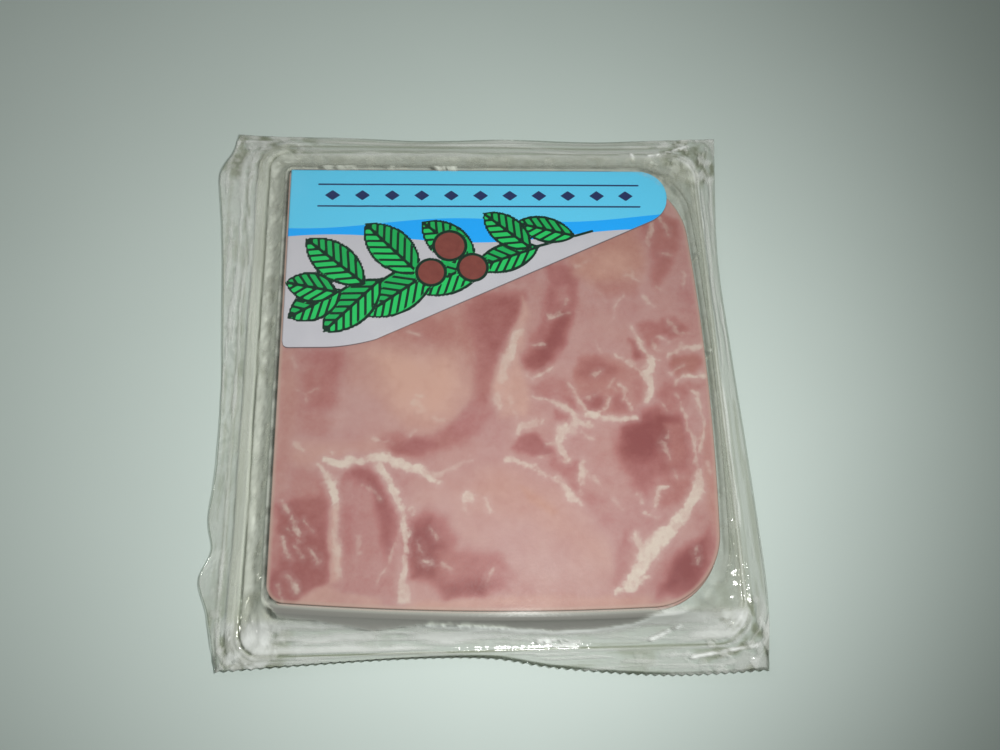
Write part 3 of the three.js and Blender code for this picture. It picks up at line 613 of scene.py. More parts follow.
def make_slice(number, fine, underside=False):
    """One slice with its pattern as attributes: the tone, warmth and fat of each point, and how far
    outside the outline it lies. A hidden slice gets a coarse grid, the lowest one is turned over."""
    columns, rows = (268, 292) if fine else (64, 70)
    points, own_xy, growth = slice_points(number, columns, rows, underside)
    ring = ring_of_grid(columns, rows)
    side = columns * rows + np.arange(len(EDGE_TURNS) + 1)[:, None] * len(ring) + np.arange(len(ring))
    levels = np.concatenate([ring[None], side])
    after = np.roll(levels, -1, axis=1)
    band = np.stack([levels[:-1], levels[1:], after[1:], after[:-1]], -1).reshape(-1, 4)
    hub = np.full(len(ring), len(points) - 1)
    faces = [grid_faces(columns, rows), band, np.stack([side[-1], hub, after[-1]], -1)]
    if underside:
        faces = [numbers[:, ::-1] for numbers in faces]
    pattern = own_xy * [-1, 1] if underside else own_xy + OTHER_CUT * (4 - number)
    tone, warmth = muscle_colour(pattern)
    fat, strength = fat_seams(pattern)
    attributes = {"tone": tone, "warmth": warmth, "fat": fat, "strength": strength,
                  "rim": slice_distance(own_xy, growth)}
    piece = add_piece(f"pork_slice_{number}", points, faces, attributes)
    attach(piece, "root")
    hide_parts(f"slice_{number}")
    return piece


slices = [
    make_slice(1, fine=True, underside=True),
    make_slice(2, fine=False),
    make_slice(3, fine=False),
    make_slice(4, fine=True),
]

# %% [markdown]
# ## The label
# The label is a printed sheet under the upper film. Its left end is square, its right end is round
# and its lower side slants. Columns of points run from its lower side to its back side, so one
# function for each side is enough. Solidify gives it its thickness.
#
# The print is a plain design of its own: two waves of blue over a pale ground, a ruled ornament and
# a sprig of bay with berries. Each motif is given as a distance in mm, as the seams are, and the
# ink's colour is chosen in the material. It could be painted as an image instead, but a distance
# gives a clean edge at any size.

# %% The label's outline
LABEL = {"left": -54.3, "right": 48.6, "back": 62.1, "front": 10.2, "end_radius": 7.6}
LABEL_CORNER = 1.8
SLANT_START, SLANT_END = np.array([-31.0, 12.2]), np.array([43.6, 46.4])
LABEL_COLUMNS, LABEL_ROWS = 290, 146


def curve_through(a, control, b, count=60):
    """A quadratic curve from a to b: (1-t)^2 a + 2t(1-t) control + t^2 b."""
    t = np.linspace(0, 1, count)[:, None]
    return (1 - t) ** 2 * np.array(a) + 2 * t * (1 - t) * np.array(control) + t**2 * np.array(b)


def label_sides(x):
    """The label's lowest and highest y at each x."""
    left, right, back, front, radius = LABEL.values()
    lower = np.concatenate([
        curve_through([left, front + LABEL_CORNER], [left, front], [left + LABEL_CORNER, front]),
        curve_through([-44, front], [-38, front], SLANT_START),
        curve_through(SLANT_END, [right, SLANT_END[1] + 2.6], [right, back - radius]),
    ])
    end = np.clip((x - right + radius) / radius, 0, 1)
    return np.interp(x, lower[:, 0], lower[:, 1]), back - radius + radius * np.sqrt(1 - end**2)


label_low, label_high = (np.array(corner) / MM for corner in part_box("label"))
label_x = np.linspace(LABEL["left"], LABEL["right"] - 0.03, LABEL_COLUMNS)
lower_y, upper_y = label_sides(label_x)
row_share = np.linspace(0, 1, LABEL_ROWS)[:, None]
label_xy = np.stack([label_x + 0 * row_share, lower_y + (upper_y - lower_y) * row_share], -1).reshape(-1, 2)
print("label spans", np.ptp(label_xy, axis=0).round(1), "mm")

# %% The print: waves, sprig and ornament as distances
# A leaf: base x, base y, direction in degrees, length and half width in mm
STEM = [(27, 43.4), (14, 39.4), (0, 35.6), (-16, 32), (-32, 28.6), (-41, 25.6)]
LEAVES = [
    (22, 42, 166, 16, 3.6), (12, 38.6, 200, 18, 3.9), (10, 38.4, 140, 16, 4.2), (-2, 35.2, 207, 21, 5.0),
    (-5, 34.4, 140, 18, 5.0), (-16, 32, 216, 22, 5.4), (-20, 31, 134, 20, 5.4),
    (-30, 29, 226, 20, 5.0), (-34, 28, 140, 20, 5.0), (-40, 26, 210, 15, 4.2), (-41, 25.6, 168, 13.4, 4.0),
]
BERRIES = [(-11.6, 39, 4.3), (-5.6, 32.6, 3.9), (-16.6, 31.2, 3.8)]
LEAF_LINE = 0.4  # half the width of a leaf's outline, in mm
VEIN_SPACING = 2.6
# The ornament: eleven lozenges in a row between two ruled lines, in mm
RULES = {"middle_x": -3, "back": 57.6, "front": 50.9, "half_width": 0.24, "half_length": 44}
LOZENGES = {"pitch": 8, "y": 54.25, "size": 1.1}


def leaf_distances(xy, x, y, turn, length, half_width):
    """Distance outside a leaf's edge, |t| - w(s) with w = half width (4s(1-s))^0.8, and to the
    nearest of its veins, which leave the midrib at 45 degrees; s runs along it and t across."""
    c, s = np.cos(radians(turn)), np.sin(radians(turn))
    dx, dy = xy[..., 0] - x, xy[..., 1] - y
    along, across = (c * dx + s * dy), (c * dy - s * dx)
    along_share = np.clip(along / length, 0, 1)
    width = half_width * (4 * along_share * (1 - along_share)) ** 0.8
    beyond = np.abs(along - along_share * length)
    edge = np.where(beyond > 1e-6, np.hypot(beyond, across), np.abs(across) - width)
    phase = (along - np.abs(across)) / VEIN_SPACING
    veins = np.abs(phase - np.round(phase)) * VEIN_SPACING * 0.7 + 0.06
    veins = np.maximum(veins, np.abs(across) - width * 0.8)
    return edge, np.minimum(np.abs(across), veins), across


def print_distances(xy):
    """The attributes of the print and of a dark grey line along the label's lower edge, in mm, for points of
    the label.
    """
    x, y = xy[:, 0], xy[:, 1]
    light_border = 46.6 + 1.0 * np.sin((x + 30) / 11) + 0.03 * x
    mid_border = 41.6 + 1.6 * np.sin((x + 66) / 13.5) + 0.02 * x
    leaf, half = np.full(len(x), 9.0), np.zeros(len(x))
    ink = distance_to_line(xy, STEM, 0.35, 0.6)
    for place in LEAVES:
        edge, veins, across = leaf_distances(xy, *place)
        inside = edge < 0.5
        ink = np.where(inside, np.minimum(np.abs(edge), np.where(edge < 0, veins, 9)) - LEAF_LINE, ink)
        half = np.where(inside, across, half)
        leaf = np.minimum(leaf, edge)
    berry = np.full(len(x), 9.0)
    for berry_x, berry_y, radius in BERRIES:
        berry = np.minimum(berry, np.hypot(x - berry_x, y - berry_y) - radius)
    ink = np.where(berry < 0.6, np.abs(berry) - LEAF_LINE, ink)
    from_middle = x - RULES["middle_x"]
    rule = np.minimum(np.abs(y - RULES["back"]), np.abs(y - RULES["front"])) - RULES["half_width"]
    rule = np.maximum(rule, np.abs(from_middle) - RULES["half_length"])
    pitch = LOZENGES["pitch"]
    lozenge_x = from_middle - pitch * np.round(np.clip(from_middle / pitch, -5, 5))
    lozenge = (np.abs(lozenge_x) * 0.75 + np.abs(y - LOZENGES["y"])) * 0.7 - LOZENGES["size"]
    # The distance inside the label's lower edge, where a dark grey line is drawn
    lower_edge_line = y - label_sides(x)[0]
    return {"lower_edge_line": lower_edge_line, "light_wave": light_border - y, "mid_wave": mid_border - y, "leaf": leaf,
            "ink": ink, "half": half, "berry": berry, "ornament": np.minimum(rule, lozenge)}


label_points = np.column_stack([label_xy, np.full(len(label_xy), label_high[2])])
label = add_piece("printed_label", label_points, [grid_faces(LABEL_COLUMNS, LABEL_ROWS)],
                  print_distances(label_xy))
thickness = label.modifiers.new("thickness", "SOLIDIFY")
thickness.thickness = (label_high[2] - label_low[2]) * MM
thickness.offset = -1
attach(label, "root")
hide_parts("label")

# %% [markdown]
# ## The films
# Each film is one sheet of rings. From the middle outwards a ring follows the covered outline, then
# blends into the seal's rounded rectangle and then into the margin's cut edge, which is a smooth
# curve through a few points on each side. The front edge is cut by a zigzag blade.
#
# Cloth simulation could draw a sheet over the stack, but the seal and the slopes are known lines, so
# rings between them are quicker and come out the same each time.

# %% The films' rings
SEAL_BOX, SEAL_RADII = np.array([-61.5, 60.3, -63.4, 72.0]), np.array([5.0, 9.0, 8.0, 5.0])
CORNERS = [(-66.9, -66.9), (63.4, -70.5), (67.2, 78.6), (-71.3, 79.0)]
EDGE_POINTS = [
    [(-48, -66.1), (-23, -65.3), (-3, -65.8), (13, -68.5), (39, -70.9)],
    [(65.5, -52), (65.1, -22), (64.1, 12), (63.8, 42)],
    [(48, 77.4), (-2, 77.3), (-40, 77.4)],
    [(-72.4, 73), (-75.5, 65.5), (-74.2, 52), (-72.4, 32), (-71.1, 12), (-70.1, -16), (-71.2, -31),
     (-70, -39), (-72.3, -46), (-69.6, -54)],
]
TOOTH_PITCH, TOOTH_DEPTH = 2.1, 0.5
MARGIN_RINGS = 27  # from the seal to the cut edge


def edge_curve(controls, count=600):
    """A Catmull-Rom curve through the points, and the share of its length reached at each sample."""
    p = np.array([controls[0], *controls, controls[-1]], float)
    place = np.linspace(0, len(controls) - 1 - 1e-9, count)
    k, t = place.astype(int), (place % 1)[:, None]
    before, a, b, after = p[k], p[k + 1], p[k + 2], p[k + 3]
    out, into = (b - before) / 2, (after - a) / 2
    curve = (2 * a - 2 * b + out + into) * t**3 + (-3 * a + 3 * b - 2 * out - into) * t**2 + out * t + a
    reached = np.concatenate([[0], np.cumsum(np.linalg.norm(np.diff(curve, axis=0), axis=1))])
    return curve, reached / reached[-1], reached[-1]


edge_curves = [edge_curve([CORNERS[i], *EDGE_POINTS[i], CORNERS[(i + 1) % 4]]) for i in range(4)]
teeth = round(edge_curves[0][2] / TOOTH_PITCH)
side_counts = [4 * teeth, 196, 190, 210]
ring_u = np.concatenate([i + np.arange(n) / n for i, n in enumerate(side_counts)])
seal_ring = rounded_loop(ring_u, SEAL_BOX, SEAL_RADII)
cut_ring = np.concatenate([
    np.stack([np.interp(np.arange(n) / n, share, curve[:, axis]) for axis in (0, 1)], -1)
    for n, (curve, share, _) in zip(side_counts, edge_curves)])
tooth = np.where(ring_u < 1, 1 - np.abs(2 * (ring_u * teeth % 1) - 1), 0) * TOOTH_DEPTH
print(teeth, "teeth; the cut edge spans", np.ptp(cut_ring, axis=0).round(1), "mm")

# %% [markdown]
# ## The films' heights
# The films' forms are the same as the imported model's, but real film is full of small creases. Folds
# are made by folded noise, 1 - |noise|, which has sharp ridges where the noise changes sign. The
# seal's bar left grooves, which are dips in the height by the distance from the seal's line.

# %% Margin, folds and grooves
MARGIN_HEIGHT, MARGIN_DROOP = 2.6, 1.2
WAVE_HEIGHT, WAVE_X, WAVE_Y = 0.45, 47, 39


def margin_height(xy, outward):
    """The seal's height less a droop outwards, and a product of two long waves that grows outwards."""
    wave = np.sin(2 * pi * xy[..., 0] / WAVE_X + 0.8) * np.cos(2 * pi * xy[..., 1] / WAVE_Y - 0.5)
    return MARGIN_HEIGHT - MARGIN_DROOP * outward + WAVE_HEIGHT * (0.3 + outward) * wave


def folds(xy, size, seed):
    """Folded noise from 0 to 1: 1 less the size of the noise, which is sharp along its zero lines."""
    return 1 - np.minimum(1, 2.2 * np.abs(fractal_noise(xy, size, seed, octaves=3)))


def groove(distance, half_width):
    """exp(-(d / w)^2): 1 on the line, and a soft fall to either side."""
    return np.exp(-((distance / half_width) ** 2))


def at_front_slope(xy):
    """1 on the slope in front of the slices, fading to its ends."""
    x, y = xy[..., 0], xy[..., 1]
    return smooth_step(-54, -57, y) * smooth_step(-44, -30, x) * smooth_step(42, 28, x)


# The hem is where the upper film meets the lower in front of the stack: its points from the left
HEM = np.array([(-56, -50), (-52, -55), (-41, -56.6), (-30.6, -58.6), (-20.2, -57.7), (0.5, -58.8),
                (10.8, -59.7), (21, -59.7), (30, -58.6), (36.7, -56.6), (41, -54), (46, -50)])


def behind_hem(xy):
    """How far behind the hem a point is, in mm along y, with a little raggedness."""
    return xy[..., 1] - np.interp(xy[..., 0], HEM[:, 0], HEM[:, 1]) + 0.25 * fractal_noise(xy, 4, 421)


def film_relief(xy):
    """How far the creases and the seal's grooves move the margin and the slopes, in mm: grooves and
    ridges along the seal, long faint folds, and deeper ones at the corners and the left skirt."""
    seal = box_distance(xy, SEAL_BOX, SEAL_RADII)
    x, y = xy[..., 0], xy[..., 1]
    at_left, at_right = smooth_step(-55, -60, x), smooth_step(53, 58, x)
    at_back = smooth_step(66, 70, y)
    wander = fractal_noise(xy, 24, 401)
    relief = -0.22 * groove(seal, 0.3) + 0.1 * groove(seal - 0.7, 0.35)
    bar = smooth_step(0.5, 0.9, seal) * smooth_step(3.4, 3.0, seal + 0.3 * wander)
    relief = relief + at_left * (0.16 * bar - 0.12 * groove(seal - 5.0 - 0.4 * wander, 0.25))
    relief = relief - 0.2 * at_right * (groove(seal + 1.35, 0.25) + groove(seal + 0.35, 0.25))
    dashes = 0.5 + 0.5 * fractal_noise(xy, 6, 411)
    relief = relief + at_back * (0.32 * dashes * groove(seal - 3.6 - 0.3 * wander, 0.4)
                                 - 0.1 * groove(seal - 2.6, 0.2))
    relief = relief + at_front_slope(xy) * 0.3 * dashes * groove(behind_hem(xy) + 0.2, 0.5)
    outer = smooth_step(4.0, 7.0, seal) * at_left
    corner = smooth_step(-53, -58, y) * np.maximum(at_right, at_left)
    corner = np.maximum(corner, smooth_step(62, 67, y) * smooth_step(46, 54, x) * 0.4)
    skirt = smooth_step(-6.5, -4, seal) * smooth_step(-0.3, -1.5, seal)
    amount = 0.05 + 0.12 * outer + 0.34 * corner + skirt * (0.16 + 0.16 * at_left)
    relief = relief + amount * (folds(xy, 4.2, 301) - 0.5) + 0.5 * amount * (folds(xy + 50, 1.9, 331) - 0.5)
    long = np.where((at_left + at_right > 0.5)[..., None], [1.0, 0.16], [0.16, 1.0])
    return relief + 0.09 * fractal_noise(xy * long, 1.5, 361, octaves=3)


print("the hem runs through", len(HEM), "points")

# %% [markdown]
# ## Milk, juice, painted shade and painted glints
# Where film is crumpled or welded it scatters light and looks milky, and that milk also carries painted
# light: it lifts the shade beside the stack, and painted highlights lie on its creases, streaks and
# lines. The real creases are finer than the mesh, so each point of a film carries how milky it is, how
# much painted shade darkens it, and how cool that milk is. A noise texture in the material could do it
# too, but every ray would work it out again, and here it follows the seal. At the front, meat juice lies
# between the films as far as the hem and looks grey; that grey is partly painted shade, darker on the
# slope by the slices. The larger glints are painted highlights, strokes given by their ends, and the
# welding bar's lines are groove curves of painted highlight and painted shade.

# %% Juice with painted shade, and milk with painted light
def juice_and_shade_mask(xy):
    """1 where juice lies between the films, from the slices' front edge to the hem; its grey there is partly
    painted shade.
    """
    wet = smooth_step(0.1, 0.6, slice_distance(xy))
    soft = 0.3 + 0.7 * smooth_step(28, 40, xy[..., 0])
    return smooth_step(-soft, soft, behind_hem(xy)) * smooth_step(-50, -52, xy[..., 1]) * wet


def milk_and_painted_light_mask(xy):
    """How milky the film is beside the stack, 0 to 1, and how cool that milk is: cream and crumpled
    on the left, a thin olive veil on the right, cool streaks before the hem. The milk is partly the
    film's own and partly painted light, which lifts the shade beside the stack and paints the sheen
    before the hem."""
    x, y = xy[..., 0], xy[..., 1]
    seal = box_distance(xy, SEAL_BOX, SEAL_RADII)
    skirt = smooth_step(0.0, 0.8, slice_distance(xy)) * smooth_step(0.1, -0.5, seal)
    left, right = smooth_step(-53.8, -55.5, x), smooth_step(51, 54, x)
    front, back = smooth_step(-55, -57, y), smooth_step(62.2, 63.4, y)
    patches = smooth_step(-0.35, 0.45, fractal_noise(xy, 2.4, 451))
    long = smooth_step(-0.3, 0.4, fractal_noise(xy * [0.12, 1.0], 1.5, 461))
    before_hem = smooth_step(0.3, -0.3, behind_hem(xy))
    amount = np.maximum.reduce([left * (0.22 + 0.34 * patches), right * 0.05,
                                back * (0.05 + 0.13 * patches + 0.12 * long),
                                front * before_hem * (0.02 + 0.36 * long)])
    amount = skirt * amount * (1 - 0.9 * juice_and_shade_mask(xy))
    flange = smooth_step(-1.4, -0.2, seal) * (1 - left * smooth_step(3.6, 3.2, seal))
    return amount, np.maximum(flange, front * before_hem)


either_side_of_hem = np.array([(0.0, -57.0), (0.0, -61.0)])
print("juice behind and before the hem:", juice_and_shade_mask(either_side_of_hem).round(2))

# %% Painted glints of folds in the film, highlights painted as white strokes: both ends in mm, half width in mm, strength
PAINTED_GLINTS = [
    # along the label's back edge and in the back left corner
    (-45.3, 63.3, -37.4, 63.2, 0.45, 0.8), (-28.3, 63.0, -20.9, 64.6, 0.35, 0.6),
    (-15.1, 63.3, -10.1, 63.2, 0.6, 1.0), (-58.9, 68.1, -53.8, 69.2, 0.8, 1.0),
    (-53.2, 66.0, -52.2, 69.0, 0.3, 0.7), (-48.4, 66.2, -49.0, 69.2, 0.35, 0.7),
    # the back right corner
    (41.6, 72.3, 43.2, 67.0, 0.35, 0.8), (43.2, 66.8, 45.8, 66.2, 0.3, 0.6),
    (47.0, 69.8, 48.4, 68.4, 0.6, 1.0), (45.5, 71.6, 52.0, 72.6, 0.3, 0.7),
    (51.0, 72.6, 58.8, 75.4, 0.4, 0.9),
    # before the hem and in the front corners
    (8.8, -62.0, 17.4, -62.8, 0.6, 1.0), (12.0, -63.0, 18.0, -63.6, 0.4, 0.8),
    (-18.0, -57.6, 0.0, -59.0, 0.5, 0.8), (0.0, -59.0, 12.0, -60.0, 0.3, 0.7),
    (35.4, -62.4, 42.4, -59.6, 0.35, 0.7), (44.6, -66.8, 62.0, -64.4, 0.35, 0.6),
    (-64.4, -56.4, -63.7, -59.3, 0.5, 0.8), (-60.4, -64.7, -58.7, -66.3, 0.35, 0.6),
    # pleats across the right side's double line
    (55.0, 36.4, 58.4, 40.4, 0.3, 0.5), (55.8, 8.6, 59.2, 10.6, 0.3, 0.5),
]


def painted_glint_strokes(xy):
    """The painted glints: each highlight is 1 along its stroke and falls off as exp(-(d / w)^2) beside it,
    broken by fine noise."""
    total = np.zeros(xy.shape[:-1])
    for x1, y1, x2, y2, half_width, strength in PAINTED_GLINTS:
        start, side = np.array([x1, y1]), np.array([x2 - x1, y2 - y1])
        share = np.clip(((xy - start) @ side) / (side @ side), 0, 1)
        away = np.linalg.norm(xy - start - share[..., None] * side, axis=-1)
        total = np.maximum(total, strength * groove(away, half_width))
    return np.clip(total * (1.0 + 2.6 * fractal_noise(xy, 1.3, 471)), 0, 1)


print(len(PAINTED_GLINTS), "painted_glint_strokes")

# %% Lines of the welding bar and crumples, in painted highlight and painted shade
def painted_bar_lines(xy):
    """The lines the welding bar left, as painted highlight and painted shade: how white and how dark
    each point is, from 0 to 1, with a painted sheen along the hem. Each is a ridge at its own distance
    from the seal, wandering slowly and broken into dashes."""
    x, y = xy[..., 0], xy[..., 1]
    left, right = smooth_step(-56, -60, x), smooth_step(54, 57, x)
    front, back = smooth_step(-57, -59, y), smooth_step(65, 68, y)
    seal = box_distance(xy, SEAL_BOX, SEAL_RADII) + 0.3 * fractal_noise(xy, 26, 401)
    long = np.where((left + right > 0.5)[..., None], [1.0, 0.12], [0.12, 1.0])
    dashes = smooth_step(-0.5, 0.5, fractal_noise(xy * long, 2.2, 411))
    strip = smooth_step(0.3, 0.6, seal) * smooth_step(3.4, 3.0, seal)
    white = left * (0.45 * strip + 0.35 * dashes * groove(seal - 5.4, 0.3))
    pair = 0.8 * groove(seal + 1.9, 0.22) + 0.8 * groove(seal + 0.85, 0.2)
    white = white + right * (0.4 + 0.6 * dashes) * pair
    line = np.interp(x, [-62, -28, 3, 38, 59], [76.4, 75.6, 75.4, 76.4, 77.8])
    white = white + back * dashes * (0.9 * groove(y - line, 0.35) + 0.4 * groove(seal - 1.0, 0.3))
    hem = at_front_slope(xy) * groove(behind_hem(xy) + 0.4, 0.5) * smooth_step(-22, -12, x)
    white = white + front * 0.5 * dashes * groove(seal - 1.0, 0.25) + hem
    painted_line_shade = left * (groove(seal, 0.22) + 0.7 * groove(seal - 5.0, 0.16) + 0.6 * groove(seal - 5.8, 0.16))
    painted_line_shade = painted_line_shade + right * (groove(seal + 1.35, 0.22) + groove(seal + 0.35, 0.24))
    painted_line_shade = painted_line_shade + back * (0.6 * groove(seal - 0.3, 0.2) + 0.7 * groove(seal - 2.6, 0.25))
    painted_line_shade = painted_line_shade + front * groove(seal - 0.4, 0.2)
    return np.clip(white, 0, 1), np.clip(painted_line_shade, 0, 1)


def crumple_mask(xy):
    """How crumpled the film is, 0 to 1: most at the corners, the left skirt and the left flange."""
    seal = box_distance(xy, SEAL_BOX, SEAL_RADII)
    x, y = xy[..., 0], xy[..., 1]
    skirt = smooth_step(0.3, 1.6, slice_distance(xy)) * smooth_step(-0.2, -1.6, seal)
    sides = 0.35 + 0.4 * smooth_step(-52, -57, x) - 0.25 * smooth_step(-55, -58, y)
    corner = smooth_step(44, 56, np.abs(x + 1)) * np.maximum(smooth_step(-50, -58, y), smooth_step(60, 66, y))
    flange = smooth_step(-64, -66, x) * 0.15
    front = 0.35 * smooth_step(-64, -66, y) * smooth_step(20, 40, x)
    patches = 0.5 + 0.5 * fractal_noise(xy, 11, 441)
    return np.clip(np.maximum.reduce([skirt * sides, 0.9 * corner, flange, front]) * (0.5 + patches), 0, 1)


def film_haze_and_painted_light(xy, seal, stack, along, juice_and_shade, painted_glint):
    """How milky each point is, with the painted highlights of the lines, streaks, wrinkles, spots and
    glints and the juice band's grey, which is partly painted shade; how much painted shade darkens it
    in lines and creases; and how cool its milk is. Streaks run along the margin, which is flat noise
    stretched along the side; wrinkles and spots lie where the film is crumpled."""
    white, painted_line_shade = painted_bar_lines(xy)
    milk_and_painted_light, cool = milk_and_painted_light_mask(xy)
    crumple = crumple_mask(xy)
    sealed = smooth_step(-1.4, -0.2, seal)
    streak = spread(fractal_noise(np.stack([seal / 0.9, along / 20], -1), 1, 501))
    wrinkle = spread(fractal_noise(np.stack([seal / 3.0, along / 4.5], -1), 1, 511))
    # Painted highlights on the spots and the wrinkles' crests
    painted_spot_glints = smooth_step(0.5, 1.4, spread(fractal_noise(xy, 2.0, 521, octaves=4)))
    painted_wrinkle_light = 0.5 * smooth_step(0, 1.3, wrinkle) + painted_spot_glints
    white = white + 0.35 * sealed * smooth_step(0.7, 1.5, streak)
    haze_and_painted_light = smooth_step(0.3, 1.5, stack) * (1 - 0.85 * juice_and_shade) * (0.012 + 0.26 * painted_wrinkle_light * crumple + 0.42 * white)
    haze_and_painted_light = np.maximum.reduce([haze_and_painted_light + milk_and_painted_light, 0.85 * juice_and_shade, 0.95 * painted_glint])
    # Painted shade in the wrinkles' troughs and along the streaks' dark parts
    painted_crease_shade = smooth_step(0, -1.2, wrinkle) * crumple + 0.3 * sealed * smooth_step(-0.7, -1.3, streak)
    return np.clip(haze_and_painted_light, 0, 1), np.clip(np.maximum(painted_crease_shade, painted_line_shade), 0, 1), cool


print("the seal's rectangle measures", np.ptp(SEAL_BOX.reshape(2, 2), axis=1).round(1), "mm")

# %% The films' surfaces
TOP_SHARES = [*np.linspace(0.08, 0.92, 5), 0.95, 0.965, 0.98, 0.99, 1]  # rings on the flat top
SLOPE_RINGS = 20
CLEARANCE = 0.8  # from the covered area to where the lower film starts to rise
SIDE_LENGTH = 130  # mm, about one side of the seal
FILM_THICKNESS = 0.12
FILM_GAP = 0.3  # between the two films' middles in the margin
LOWER_LEVEL, UPPER_LEVEL = 0.2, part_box("upper_film")[1][2] / MM - 0.15  # of the flat middles


def film_rings(level, lift, fall):
    """Rings of points from the middle out: the flat top, the slope and the margin. fall says how far
    from the top's level to the margin's the slope has come, for each share of its way."""
    covered = bowed_loop(ring_u, COVERED, -1.0)
    rings = [SLICE_MIDDLE + (covered - SLICE_MIDDLE) * share for share in TOP_SHARES]
    rings.append(bowed_loop(ring_u, COVERED, 0.2))
    heights = [np.full(len(ring_u), level) for ring in rings]
    amounts = [0] * len(rings)
    inner = bowed_loop(ring_u, COVERED, CLEARANCE)
    for share in np.linspace(0, 1, SLOPE_RINGS):
        ring = inner + (seal_ring - inner) * share
        rings.append(ring)
        heights.append(level + (margin_height(ring, 0) + lift - level) * fall(share))
        amounts.append(min(1, share * 4))
    for share in np.linspace(0, 1, MARGIN_RINGS)[1:]:
        ring = seal_ring + (cut_ring - seal_ring) * share
        ring = ring + np.stack([0 * tooth, tooth * smooth_step(0.86, 1, share)], -1)
        rings.append(ring)
        heights.append(margin_height(ring, share) + lift)
        amounts.append(1)
    rings = np.array(rings)
    heights = np.array(heights) + np.array(amounts)[:, None] * film_relief(rings)
    return np.concatenate([rings, heights[..., None]], -1)


def make_film(name, node, rings):
    """A film from its rings, its middle closed by a fan, with Solidify for its thickness."""
    hub = np.array([[*SLICE_MIDDLE, rings[0, 0, 2]]])
    points = np.concatenate([hub, rings.reshape(-1, 3)])
    count = rings.shape[1]
    here = 1 + np.arange(count)
    fan = np.stack([np.zeros(count, int), here, 1 + (np.arange(count) + 1) % count], -1)
    xy = points[:, :2]
    seal, stack = box_distance(xy, SEAL_BOX, SEAL_RADII), slice_distance(xy)
    margin = np.linspace(1, 0, MARGIN_RINGS)[:, None] * np.linalg.norm(cut_ring - seal_ring, axis=1)
    to_cut = np.full(len(points), 9.0)
    to_cut[-margin.size:] = margin.ravel()
    along = np.concatenate([[0], np.tile(np.abs(2 - ring_u) * SIDE_LENGTH, len(rings))])
    # Painted shade along the blade's teeth at the front cut edge
    painted_blade_shade = smooth_step(-62, -64, xy[:, 1]) * smooth_step(1.1, 0.7, to_cut)
    # The juice band with its painted shade, and the painted glints
    juice_and_shade, painted_glint = juice_and_shade_mask(xy), painted_glint_strokes(xy)
    haze_and_painted_light, shade, cool = film_haze_and_painted_light(xy, seal, stack, along, juice_and_shade, painted_glint)
    attributes = {"haze_and_painted_light": haze_and_painted_light, "shade": shade, "cool": cool, "juice_and_shade": juice_and_shade, "painted_glint": painted_glint,
                  "stack": stack, "to_cut": to_cut, "painted_blade_shade": painted_blade_shade}
    piece = add_piece(name, points, [band_faces(count, len(rings), 1), fan], attributes)
    thickness = piece.modifiers.new("thickness", "SOLIDIFY")
    thickness.thickness = FILM_THICKNESS * MM
    thickness.offset = 0
    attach(piece, "root")
    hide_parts(node)
    return piece


lower_rings = film_rings(LOWER_LEVEL, 0.0, lambda share: share**0.8)
upper_rings = film_rings(UPPER_LEVEL, FILM_GAP, lambda share: 1 - (1 - share) ** 2.4)
film_lower = make_film("film_lower", "lower_film", lower_rings)
film_upper = make_film("film_upper", "upper_film", upper_rings)

# %% [markdown]
# ## The finishes
# A material is a small net of nodes. The helpers below make a node, set or link its inputs and hand
# back an output, so that a finish reads as a list of steps.

# %% Node helpers
def add_node(tree, kind, inputs=None, **settings):
    """A node with its settings, its inputs linked where a socket is given and set where a value is."""
    node = tree.nodes.new(kind)
    for name, value in settings.items():
        setattr(node, name, value)
    for key, value in (inputs or {}).items():
        if isinstance(value, bpy.types.NodeSocket):
            tree.links.new(value, node.inputs[key])
        else:
            node.inputs[key].default_value = value
    return node


def attribute(tree, name):
    """The value that the mesh's points carry under this name."""
    return add_node(tree, "ShaderNodeAttribute", attribute_name=name).outputs["Fac"]


def calc(tree, operation, *values, clamp=False):
    """One step of arithmetic; MULTIPLY_ADD gives the first value times the second plus the third."""
    inputs = dict(enumerate(values))
    return add_node(tree, "ShaderNodeMath", inputs, operation=operation, use_clamp=clamp).outputs[0]


def step_between(tree, value, low, high, to_low=0.0, to_high=1.0):
    """to_low where value is low, to_high where it is high, and a smooth S between."""
    inputs = {"Value": value, "From Min": low, "From Max": high, "To Min": to_low, "To Max": to_high}
    if low > high:
        inputs.update({"From Min": high, "From Max": low, "To Min": to_high, "To Max": to_low})
    return add_node(tree, "ShaderNodeMapRange", inputs, interpolation_type="SMOOTHSTEP").outputs[0]


def mix_colours(tree, factor, a, b, blend="MIX"):
    """Colour a where the factor is 0 and b where it is 1, or a times b with blend MULTIPLY."""
    node = add_node(tree, "ShaderNodeMix", {0: factor, 6: a, 7: b}, data_type="RGBA", blend_type=blend)
    return node.outputs[2]


def colour_ramp(tree, value, stops):
    """A colour for each value, blended between the stops, each a place and a linear colour."""
    node = add_node(tree, "ShaderNodeValToRGB", {"Fac": value})
    ramp = node.color_ramp
    while len(ramp.elements) < len(stops):
        ramp.elements.new(0.5)
    for element, (place, colour) in zip(ramp.elements, stops):
        element.position = place
        element.color = (*colour, 1)
    return node.outputs["Color"]


def new_material(name):
    """A material with its node tree and the shader that Blender puts into it."""
    material = bpy.data.materials.new(name)
    material.use_nodes = True
    tree = material.node_tree
    return material, tree, tree.nodes["Principled BSDF"]


